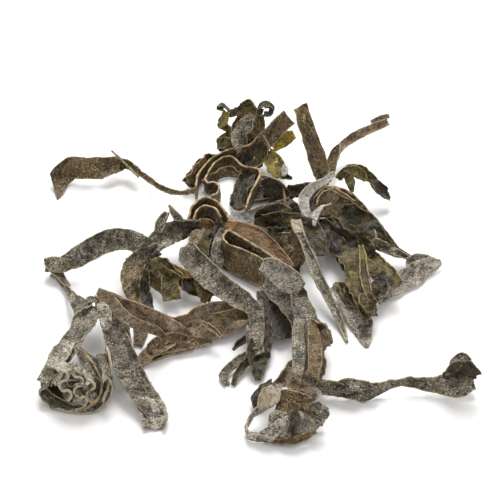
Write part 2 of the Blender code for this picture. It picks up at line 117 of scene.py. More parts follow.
CRUMPLED = {
    "thick": 0.6, "ruffle": 1.1, "wave": 8.0, "ragged": 0.8, "crumple": 1.3, "crease": 0.9, "tear": 0.9,
    "cup": 30.0, "curl": 80.0, "curled": 0.2, "folds": 45.0, "rim": 0.6, "kinked": 0.7,
}
STALK = {
    "thick": 0.6, "ruffle": 0.1, "wave": 9.0, "ragged": 0.15, "crumple": 0.1, "crease": 0.3, "tear": 0.3,
    "cup": 50.0, "curl": 0.0, "curled": 0.0, "folds": 10.0, "rim": 0.7, "kinked": 0.3,
}
ROLLED = {
    "thick": 0.7, "ruffle": 0.3, "wave": 16.0, "ragged": 0.3, "crumple": 0.3, "crease": 0.4, "tear": 0.4,
    "cup": 68.0, "curl": 60.0, "curled": 0.4, "folds": 12.0, "rim": 0.7, "kinked": 0.4,
}
SMOOTH = {
    "thick": 0.6, "ruffle": 0.2, "wave": 14.0, "ragged": 0.15, "crumple": 0.2, "crease": 0.15, "tear": 0.2,
    "cup": 14.0, "curl": 30.0, "curled": 0.0, "folds": 10.0, "rim": 0.5, "kinked": 0.4,
}


def strap(name, look, form, route, turn=None, up=UPWARD, cut=(0, 0), creases=None):
    """One strap, or one fold on a strap.

    Turn is given where all of its stations share one, and they leave it out. Up is the direction that the
    width takes at a turn of 90 degrees, cut the slant of the two ends in degrees, and creases the angle
    between the fine creases and the run, where it isn't the next of CREASE_TURNS.
    """
    if turn is not None:
        route = [(*station, turn) for station in route]
    return {
        "name": name, "look": look, "form": form, "route": route, "up": up, "cut": cut, "creases": creases,
    }


# Colours of each kind of dried blade, as linear red, green and blue: its dark ground, which also paints the
# shade in the crease valleys, its middle tone, the film of salt that greys it, the pale grains of that salt,
# the cut margins and the painted glow of light that comes through where it is thin. Salt is how much of the
# surface has that film, grain how strongly its grains show, and glow share how strongly that painted glow
# shows.
GREY = {
    "slot": "grey_blade", "salt": 0.55, "grain": 1.0, "glow_share": 0.2, "dark": (0.015, 0.010, 0.006),
    "middle": (0.130, 0.102, 0.066), "film": (0.240, 0.207, 0.158), "pale": (0.70, 0.63, 0.51),
    "rim": (0.48, 0.37, 0.22), "glow": (0.17, 0.12, 0.04),
}
SAGE = {
    "slot": "grey_blade", "salt": 0.5, "grain": 1.2, "glow_share": 0.3, "dark": (0.018, 0.014, 0.008),
    "middle": (0.165, 0.140, 0.092), "film": (0.300, 0.270, 0.205), "pale": (0.70, 0.65, 0.53),
    "rim": (0.50, 0.41, 0.25), "glow": (0.19, 0.15, 0.045),
}
MOSS = {
    "slot": "olive_blade", "salt": 0.2, "grain": 0.5, "glow_share": 0.7, "dark": (0.006, 0.006, 0.003),
    "middle": (0.050, 0.044, 0.016), "film": (0.090, 0.078, 0.042), "pale": (0.26, 0.23, 0.14),
    "rim": (0.28, 0.21, 0.10), "glow": (0.140, 0.095, 0.018),
}
SALTED = {
    "slot": "grey_blade", "salt": 0.9, "grain": 1.0, "glow_share": 0.1, "dark": (0.040, 0.031, 0.020),
    "middle": (0.225, 0.186, 0.132), "film": (0.480, 0.432, 0.358), "pale": (0.82, 0.77, 0.68),
    "rim": (0.52, 0.42, 0.27), "glow": (0.20, 0.15, 0.07),
}
BROWN = {
    "slot": "brown_blade", "salt": 0.3, "grain": 1.05, "glow_share": 0.3, "dark": (0.020, 0.012, 0.005),
    "middle": (0.140, 0.088, 0.032), "film": (0.200, 0.148, 0.082), "pale": (0.60, 0.47, 0.29),
    "rim": (0.56, 0.42, 0.23), "glow": (0.20, 0.125, 0.02),
}
DARK = {
    "slot": "brown_blade", "salt": 0.25, "grain": 0.5, "glow_share": 0.2, "dark": (0.008, 0.006, 0.004),
    "middle": (0.046, 0.032, 0.015), "film": (0.075, 0.058, 0.036), "pale": (0.32, 0.26, 0.18),
    "rim": (0.36, 0.27, 0.14), "glow": (0.10, 0.07, 0.012),
}
OLIVE = {
    "slot": "olive_blade", "salt": 0.3, "grain": 0.6, "glow_share": 0.6, "dark": (0.016, 0.011, 0.003),
    "middle": (0.120, 0.088, 0.020), "film": (0.150, 0.120, 0.060), "pale": (0.40, 0.335, 0.20),
    "rim": (0.40, 0.30, 0.13), "glow": (0.26, 0.185, 0.014),
}
TAN = {
    "slot": "tan_blade", "salt": 0.4, "grain": 0.7, "glow_share": 0.3, "dark": (0.055, 0.034, 0.016),
    "middle": (0.215, 0.145, 0.078), "film": (0.330, 0.265, 0.185), "pale": (0.64, 0.54, 0.39),
    "rim": (0.54, 0.38, 0.20), "glow": (0.32, 0.19, 0.06),
}
SILVER = {
    "slot": "silver_skin", "salt": 0.4, "grain": 0.15, "glow_share": 0.1, "dark": (0.20, 0.185, 0.16),
    "middle": (0.50, 0.48, 0.43), "film": (0.60, 0.58, 0.53), "pale": (0.78, 0.76, 0.71),
    "rim": (0.38, 0.32, 0.22), "glow": (0.45, 0.42, 0.36),
}
PAPER = {
    "slot": "silver_skin", "salt": 0.5, "grain": 0.15, "glow_share": 0.3, "dark": (0.20, 0.15, 0.09),
    "middle": (0.50, 0.42, 0.31), "film": (0.60, 0.53, 0.42), "pale": (0.72, 0.65, 0.53),
    "rim": (0.50, 0.38, 0.22), "glow": (0.46, 0.36, 0.22),
}
# A blade lit from behind: its yellow is painted light, the glow that comes through the thin, dried sheet.
BACKLIT_YELLOW = {
    "slot": "olive_blade", "salt": 0.15, "grain": 0.25, "glow_share": 0.8, "dark": (0.110, 0.080, 0.008),
    "middle": (0.300, 0.220, 0.025), "film": (0.320, 0.250, 0.080), "pale": (0.46, 0.37, 0.15),
    "rim": (0.42, 0.32, 0.10), "glow": (0.50, 0.37, 0.025),
}
RUST = {
    "slot": "tan_blade", "salt": 0.2, "grain": 0.4, "glow_share": 0.6, "dark": (0.060, 0.028, 0.008),
    "middle": (0.230, 0.125, 0.045), "film": (0.290, 0.190, 0.095), "pale": (0.48, 0.35, 0.20),
    "rim": (0.46, 0.30, 0.13), "glow": (0.40, 0.22, 0.06),
}

LOOKS = {
    "grey_blade": GREY, "sage_blade": SAGE, "salted_blade": SALTED, "brown_blade": BROWN, "dark_blade": DARK,
    "moss_blade": MOSS, "olive_blade": OLIVE, "tan_blade": TAN, "silver_skin": SILVER, "paper_blade": PAPER,
    "backlit_yellow_blade": BACKLIT_YELLOW, "rust_blade": RUST,
}


STRAPS = [
    # The strap that reaches out to the far left on a thin stalk.
    strap("far_left_strap", BROWN, CALM, [
        (196, 190, 8, 2.2, 60), (183, 193, 6, 2, 60), (172, 192, 5, 2, 50), (158, 186, 4.5, 2.2, 50),
        (142, 174, 4.5, 2.6, 50), (127, 164, 5, 4.5, 50), (114, 165, 6, 8, 50), (100, 168, 6, 9.4, 50),
        (84, 168, 6, 9.4, 50), (71, 168, 5.5, 9.4, 48), (61, 177, 3.2, 9.4, 30), (54, 189, 1.2, 8.5, 5),
    ], cut=(0, -50), creases=70),
    strap("far_left_sliver", GREY, STALK, [
        (112, 151, 8.6, 1.2), (118, 157, 7.8, 2.6), (127, 166, 6, 3), (138, 177, 5, 1.4),
    ], turn=50),
    # Two straps standing on edge that coil behind the middle, and two smaller hoops in front of them.
    strap("outer_coil_strap", BROWN, ON_EDGE, [
        (289, 117, 17, 7, 50), (278, 127, 14.5, 7, 50), (268, 138, 11.5, 7, 55), (258, 145, 9, 7, 85),
        (247, 152, 7, 7, 90), (237, 154, 5.6, 7, 90), (226, 157, 4.6, 7, 90), (214, 163, 4, 7, 90),
        (205, 171, 3.6, 7, 90), (198, 181, 3.4, 7, 90), (196, 193, 3.4, 7, 90),
    ], creases=30),
    strap("inner_coil_strap", BROWN, ON_EDGE, [
        (246, 214, 3.2, 6.5), (248, 208, 3.2, 6.5), (251, 200, 3.2, 6.5), (256, 189, 3.2, 6.5),
        (260, 180, 3.2, 6.5), (258, 175, 3.2, 6.5), (251, 173.5, 3.2, 6.5), (243, 171.5, 3.2, 6.5),
        (237, 166, 3.2, 6.5), (231, 162, 3.2, 6.5), (224, 162.5, 3.2, 6.5), (215, 168.5, 3.2, 6.5),
        (208, 178, 3.2, 6.5), (205, 185, 3.2, 6.5), (208, 189, 3.2, 6.5), (214, 188, 3.2, 6.5),
        (219, 192, 3.2, 6.5), (217, 199, 3.2, 6.5), (210, 203, 3.2, 6.5),
    ], turn=90),
    strap("small_coil_strap", BROWN, ON_EDGE, [
        (189, 224, 9, 6), (192, 213, 9, 6), (199, 206, 9, 6), (207, 203, 9, 6), (216, 207, 9, 6),
        (225, 217, 8, 6), (230, 228, 6.5, 6),
    ], turn=90),
    strap("small_coil_inner_strap", BROWN, ON_EDGE, [
        (194, 224, 8.6, 5), (198, 214, 8.6, 5), (205, 210, 8.6, 5), (213, 212, 8.6, 5), (221, 222, 8.6, 5),
    ], turn=90),
    # The hairpin in the middle, with the round grey ends that lie over it.
    strap("hairpin_strap", BROWN, ON_EDGE, [
        (292, 276, 6.5, 6, 90), (284, 271, 7, 7, 90), (272, 264, 7.5, 8, 90), (255, 253, 8, 8, 90),
        (238, 243, 8, 8, 90), (228, 238, 8, 8, 90), (222, 243, 7.5, 8, 95), (226, 254, 7, 9, 105),
        (240, 262, 6.5, 10, 125), (256, 270, 6.5, 10, 125), (268, 279, 6, 8, 120),
    ], creases=60),
    strap("pale_end_strap", SALTED, CALM, [
        (262, 264, 14.5, 5, -50), (272, 268, 14, 9, -50), (284, 277, 13.5, 10, -50),
        (296, 285, 12, 9, -45), (302, 289, 11, 5, -45),
    ], creases=80),
    strap("round_grey_strap", GREY, CALM, [
        (186, 246, 10, 5, -30), (190, 256, 10, 10, -35), (200, 267, 10.4, 10, -35),
        (215, 281, 11.4, 9.6, -35), (230, 292, 12.2, 9, -38), (245, 302, 11.4, 8, -38),
        (255, 312, 9.5, 6.5, -10), (257, 325, 7, 6, 0), (255, 340, 5, 5, 0),
    ], creases=75),
    # The broad leaf that narrows to a rolled tip, and the strap under it.
    strap("broad_leaf", TAN, CALM, [
        (248, 306, 4, 4, 30), (238, 314, 4.2, 12, 30), (221, 320, 4.6, 15, 30), (203, 323, 5, 15, 30),
        (187, 327, 5.5, 10, 35), (172, 326, 7, 7, 45), (155, 319, 9, 6.5, 50), (138, 311, 11, 6.5, 50),
        (122, 304, 13, 5, 40), (109, 296, 14.5, 3.5, 30), (100, 291, 15, 2, 20),
    ], creases=20),
    strap("under_leaf_strap", BROWN, CALM, [
        (193, 346, 0.5, 4), (180, 348, 0.5, 6), (165, 351, 0.5, 6.5), (150, 357, 0.5, 6),
        (139, 364, 0.5, 3),
    ], turn=0),
    # The arch on the left, and the strap that runs from its foot into the curled rosette.
    strap("arch_strap", SAGE, CALM, [
        (146, 247, 12, 8, 45), (130, 240, 12.5, 8.6, 50), (115, 239, 12.5, 9, 50), (100, 244, 11.5, 9, 50),
        (86, 252, 9.5, 8.6, 50), (72, 260, 7, 7.5, 50), (60, 265, 5, 6, 45), (48, 265, 3.6, 5, 35),
    ], creases=88),
    strap("lower_left_strap", SAGE, CALM, [
        (53, 273, 0.7, 3), (60, 279, 0.9, 2.6), (66, 288, 2, 2.4), (74, 299, 5, 4), (84, 311, 8.5, 8),
        (82, 324, 10, 8), (70, 342, 10, 8), (57, 361, 8.5, 8.5), (44, 380, 5.5, 8.5), (42, 391, 2.6, 8),
        (54, 401, 0.7, 8), (75, 407, 0.4, 8), (95, 405, 0.7, 8), (106, 396, 3.6, 8), (111, 384, 8, 8),
        (108, 368, 12, 7.5), (102, 354, 14, 6),
    ], turn=90, up=TO_VIEWER),
    strap("rosette_inner_strap", GREY, CALM, [
        (76, 347, 14, 4), (84, 358, 12, 6.5), (93, 368, 9.5, 7), (99, 378, 6.5, 7), (97, 388, 4.2, 7),
        (90, 396, 2.8, 7),
    ], turn=90, up=TO_VIEWER),
    strap("rosette_frill", SALTED, FRILLED, [
        (57, 384, 7, 6), (65, 371, 11, 7), (74, 370, 12, 7), (71, 380, 9, 7), (80, 383, 9, 7),
        (84, 392, 6, 7), (75, 395, 4.4, 7), (65, 392, 4.6, 6),
    ], turn=90, up=TO_VIEWER),
    # The crumpled straps between the arch and the middle.
    strap("left_cluster_strap", SAGE, CRUMPLED, [
        (200, 226, 10, 5, 60), (190, 226, 10, 6.6, 60), (178, 230, 10, 9.6, 50), (168, 234, 9.4, 10.6, 45),
        (158, 241, 8, 10.6, 40), (149, 250, 6, 9, 35),
    ]),
    strap("left_spike", SAGE, CALM, [
        (182, 223, 12, 2.4), (178, 218, 13.6, 3.8), (173, 212, 15.2, 2.8), (169, 205, 16.6, 0.6),
    ], turn=50),
    strap("left_frill_strap", BROWN, FRILLED, [
        (141, 257, 8, 6), (134, 267, 8, 9.5), (131, 279, 7, 9.5), (131, 291, 5, 8.5), (136, 304, 2.6, 5),
        (140, 318, 0.9, 4.5), (141, 332, 0.5, 5), (138, 346, 0.5, 4),
    ], turn=0),
    strap("olive_lobe", OLIVE, FRILLED, [
        (146, 268, 6.5, 6, -40), (153, 273, 6.5, 9.5, -45), (163, 280, 6, 10.5, -50),
        (173, 285, 5.5, 10.5, -50), (180, 287, 5, 8, -50),
    ]),
    strap("olive_fold_strap", OLIVE, FRILLED, [
        (183, 284, 3.9, 5, -60), (190, 285, 3.8, 6.5, -60), (198, 288, 3.6, 7, -60),
        (206, 295, 3, 4.5, -40),
    ]),
    strap("front_left_strap", GREY, CALM, [
        (110, 318, 12, 6), (114, 332, 12, 9), (120, 350, 10.5, 10), (128, 370, 8, 10), (138, 388, 5, 10),
        (149, 406, 2.2, 9.5), (160, 424, 0.5, 6),
    ], turn=0, creases=60),
    strap("left_knob", TAN, CRUMPLED, [
        (98, 295, 9, 2.5), (103, 304, 9.5, 5.5), (107, 315, 9, 6.5), (106, 327, 7.5, 4),
    ], turn=0),
    # The ragged frills that stand behind the coil.
    strap("back_sheet", BROWN, FRILLED, [
        (254, 113, 17, 5), (250, 120, 15.5, 10), (246, 128, 13.5, 13.4), (244, 138, 10.5, 13.4),
        (243, 149, 7, 12), (243, 156, 5, 9),
    ], turn=0),
    strap("back_left_frill", OLIVE, FRILLED, [
        (227, 111, 18, 3.4), (225, 118, 15.5, 4), (223, 125, 13, 4.4), (229, 131, 11, 3),
        (228, 137, 9.5, 5.6), (225, 144, 7.5, 6), (225, 152, 5, 5.4),
    ], turn=0),
    strap("back_right_curl", DARK, CALM, [
        (259, 117, 19, 4.4), (260, 109, 21, 4.8), (265, 105, 22, 4.6), (270, 108, 21.5, 4.4),
        (269, 113, 20.8, 4), (264, 113, 20.6, 3),
    ], turn=90, up=TO_VIEWER),
    strap("yellow_flap", BACKLIT_YELLOW, CALM, [
        (273, 148, 6.8, 3.6), (281, 141, 8, 6), (288, 137, 9, 5.6), (294, 134, 9.6, 3.6),
    ], turn=-50),
    strap("back_olive_strap", OLIVE, CRUMPLED, [
        (269, 150, 7.2, 4, 0), (272, 159, 6.6, 7.5, 0), (276, 168, 6, 8, -10), (283, 176, 5.5, 5, -30),
        (292, 178, 5.4, 1.5, -50),
    ]),
    strap("coil_back_lobe", DARK, CRUMPLED, [
        (211, 160, 3.4, 5), (203, 165, 3.8, 7), (195, 173, 3.8, 7), (186, 185, 3, 6),
    ], turn=60),
    # The middle of the clump: the blade base, and the folds that crowd around it.
    strap("coil_right_wall", DARK, CRUMPLED, [
        (262, 189, 6.4, 9), (268, 190, 6.8, 12), (274, 192, 6.8, 12), (280, 195, 6, 10.4),
        (284, 200, 4.6, 7),
    ], turn=90),
    strap("pale_crinkle_strap", SALTED, CRUMPLED, [
        (290, 200, 5.6, 3.4), (281, 205, 5, 4.6), (270, 208, 4.4, 4), (258, 210, 4, 3.4),
        (249, 213, 3.4, 2.4),
    ], turn=50),
    strap("gold_fold", OLIVE, FRILLED, [
        (213, 228, 5.6, 3), (206, 236, 6, 5), (203, 246, 5.6, 6), (205, 258, 4.6, 3),
    ], turn=0),
    strap("centre_back_strap", DARK, CALM, [
        (288, 191, 6, 5), (298, 191, 8, 5.5), (307, 189, 9.5, 5),
    ], turn=-50),
    strap("crumpled_blade", MOSS, CRUMPLED, [
        (254, 232, 5, 9, -30), (266, 232, 7, 14, -35), (280, 229, 9, 15, -35), (295, 230, 9.5, 14, -35),
        (310, 236, 8.5, 13, -35), (320, 243, 7, 8, -35),
    ]),
    strap("centre_band", RUST, SMOOTH, [
        (233, 230, 4, 6, -40), (248, 236, 5.5, 10, -40), (264, 243, 6, 11, -45), (282, 250, 6, 10, -50),
        (296, 254, 5.5, 8.5, -55), (306, 258, 5, 6, -50),
    ]),
    strap("blade_base", DARK, CALM, [
        (228, 257, 0.5, 14), (250, 262, 0.5, 22), (276, 266, 0.5, 23), (300, 268, 0.5, 15),
    ], turn=0),
    # The long straps that run to the front right.
    strap("long_diagonal_strap", SAGE, ROLLED, [
        (294, 222, 15, 5.5, 0), (301, 236, 14.5, 5, -10), (308, 252, 12, 4.6, -10),
        (315, 271, 9, 4.6, -10), (325, 292, 6, 4.6, 0), (336, 314, 2.8, 4.4, 0), (343, 330, 0.9, 3, 0),
        (347, 342, 0.5, 1, 0),
    ], creases=5),
    strap("pale_tip_strap", SALTED, CALM, [
        (332, 287, 4, 3), (343, 297, 3.2, 6.5), (353, 309, 2.4, 9), (360, 321, 1.5, 10),
        (364, 334, 0.6, 7), (367, 347, 0.5, 1),
    ], turn=0),
    # The strap that stands up at the back, and the thin branches beside it.
    strap("tall_strap", BROWN, CALM, [
        (325, 184, 8, 5.4), (321, 172, 12, 7.4), (316, 156, 17, 7.8), (310.5, 140, 23, 7.6),
        (304, 121, 29.4, 7.2), (300, 106, 34, 6.8),
    ], turn=0, cut=(0, 14), creases=10),
    strap("small_leaf", BROWN, CALM, [
        (328, 180, 8, 2), (330, 171, 10.5, 4.6), (333, 161, 13, 5.4), (336, 151, 16, 4),
        (339, 145, 18, 1.2),
    ], turn=0),
    strap("back_right_stem", TAN, STALK, [
        (325, 185, 7.4, 3, 0), (328, 175, 6.8, 2.8, 0), (333, 160, 6.2, 2.8, 0), (342, 146, 7, 3.6, -20),
        (354, 137, 8, 4.2, -40), (366, 131, 8.5, 4.2, -40), (378, 126, 9, 4, -40), (388, 122, 9, 3, -40),
    ]),
    strap("right_hanging_strap", OLIVE, CRUMPLED, [
        (338, 179, 9, 3, -40), (345, 171, 12, 4, -40), (354, 168, 13, 4.5, -50), (364, 172, 12, 4.6, -50),
        (372, 180, 9.5, 4.6, -30), (379, 189, 6.5, 4.4, -20), (386, 196, 4, 3, -20),
    ]),
    strap("hanging_lobe", OLIVE, FRILLED, [
        (347, 172, 10.6, 4.4), (350, 181, 8, 4.4), (352, 192, 5, 1.2),
    ], turn=0),
    # The silvery crescent, and the broad strap on the right with what hangs from it.
    strap("pale_crescent_strap", SILVER, SMOOTH, [
        (334, 173, 15, 1.6, 50), (323, 182, 14.5, 3, 50), (312, 188, 14, 4, 50), (304, 198, 13, 4.6, 30),
        (305, 210, 12, 4, 10), (313, 222, 11, 2, -30),
    ]),
    strap("right_broad_strap", BROWN, CALM, [
        (316, 208, 9.4, 8, -55), (330, 203, 10.2, 14, -50), (345, 209, 10.8, 14.4, -46),
        (357, 219, 10.4, 13, -42), (370, 231, 9.4, 11, -40), (384, 243, 7.4, 7.4, -40),
        (397, 252, 5, 4, -30), (411, 258, 3, 2, -20),
    ]),
    strap("right_tip_strap", SALTED, CALM, [
        (441, 262, 2.5, 2, 45), (432, 265, 3, 6, 48), (418, 272, 3.4, 8.5, 50), (403, 280, 3.5, 8.6, 50),
        (389, 288, 3.5, 8.4, 50), (375, 297, 3.4, 7, 45),
    ]),
    strap("right_slim_strap", OLIVE, CALM, [
        (361, 245, 2, 3.5), (369, 253, 3, 4.6), (378, 262, 5.8, 5.4), (389, 272, 8.6, 5.6),
        (399, 286, 8.5, 4.5),
    ], turn=-20),
    strap("olive_crumple_strap", OLIVE, FRILLED, [
        (334, 228, 2.4, 4), (341, 241, 4.8, 7), (348, 256, 7, 9.5), (355, 273, 8, 10.5),
        (360, 290, 7.8, 9.5), (365, 305, 6.4, 9), (369, 318, 4.8, 5),
    ], turn=0),
    strap("olive_fin", OLIVE, CRUMPLED, [
        (334, 284, 5.4, 1.5), (343, 288, 5, 5), (352, 298, 4.4, 7), (359, 307, 3.8, 5),
    ], turn=0),
    # The straps that come down the front, and the loop that they end in.
    strap("front_cross_strap", GREY, CALM, [
        (264, 283, 4.6, 6, -35), (276, 290, 6, 9, -35), (288, 301, 7.4, 9.6, -30), (297, 317, 8, 7.6, -20),
        (301, 336, 7.4, 5, -10),
    ]),
    strap("front_centre_strap", GREY, CALM, [
        (299, 298, 12, 7), (304, 313, 12.5, 9), (308, 331, 12, 10), (308, 350, 10.5, 10.4),
        (307, 368, 8.5, 10.4), (303, 384, 7, 9.5), (301, 395, 6, 7),
    ], turn=0, creases=45),
    strap("front_side_fin", TAN, FRILLED, [
        (314, 320, 8, 4), (317, 330, 7.6, 7), (321, 340, 7, 8), (321, 351, 6.2, 4),
    ], turn=0),
    strap("front_loop_strap", SALTED, CALM, [
        (279, 386, 8.5, 4, 0), (271, 396, 7.5, 6.4, 20), (263, 407, 6, 3, 40), (252, 415, 4.4, 2.4, 70),
        (245, 426, 2.8, 3.2, 90), (247, 436, 2.2, 3.8, 90), (258, 438, 2.6, 4.6, 95),
        (271, 436, 3.6, 7.5, 110), (287, 430, 4.8, 11, 125), (303, 424, 5.2, 11, 125),
        (315, 416, 5.6, 9.5, 125), (323, 413, 6, 7, 125),
    ]),
    strap("front_dark_lobe", DARK, CRUMPLED, [
        (273, 382, 7, 3.4), (263, 388, 5.4, 6), (256, 398, 3.4, 4.8), (257, 407, 2, 1.5),
    ], turn=0),
    strap("front_crumple", GREY, FRILLED, [
        (283, 397, 7, 6), (293, 402, 7.5, 9), (304, 404, 7.5, 9), (312, 402, 7, 6),
    ], turn=-20),
    # The split fingers at the front.
    strap("finger_body", MOSS, CRUMPLED, [
        (259, 345, 4.4, 8), (258, 356, 3.4, 9.6), (257, 368, 2.2, 7), (258, 381, 0.6, 2.4),
    ], turn=0),
    strap("upper_finger", DARK, STALK, [
        (256, 333, 5.6, 3, 40), (247, 338, 4.8, 3, 40), (239, 343, 3.8, 2.8, 40), (233, 350, 3, 1, 30),
    ]),
    strap("lower_finger", SAGE, CALM, [
        (264, 350, 4.8, 3, -20), (252, 353, 4.2, 3.2, 40), (241, 359, 3.2, 3.6, 40),
        (230, 367, 2.2, 3.4, 30), (223, 376, 1.2, 3, 0), (227, 385, 0.6, 2.4, 0),
    ]),
    # The strap that lies out to the front right, with its curled end.
    strap("front_right_strap", SAGE, CALM, [
        (322, 387, 3.4, 6, -60), (336, 388, 3.4, 6, -60), (350, 390, 3.2, 6.8, -60),
        (364, 392, 3.3, 7.5, -60), (377, 389, 3.2, 5, -60), (388, 384.5, 3.8, 3.4, -60),
        (400, 382, 4.2, 2.6, -60), (413, 382, 4, 4, -60), (426, 384, 3.4, 5.6, -60),
        (438, 384, 3.5, 7.6, -58), (451, 384, 4.3, 10.5, -56), (463, 381, 4.6, 11, -54),
        (473, 379, 4.6, 8, -52),
    ]),
    strap("front_right_curl", GREY, CALM, [
        (453, 370, 10, 3, 0), (456, 363, 11.4, 5, 0), (463, 358, 12.4, 4.5, -30),
        (471, 361, 12.2, 1.6, -50),
    ]),
]

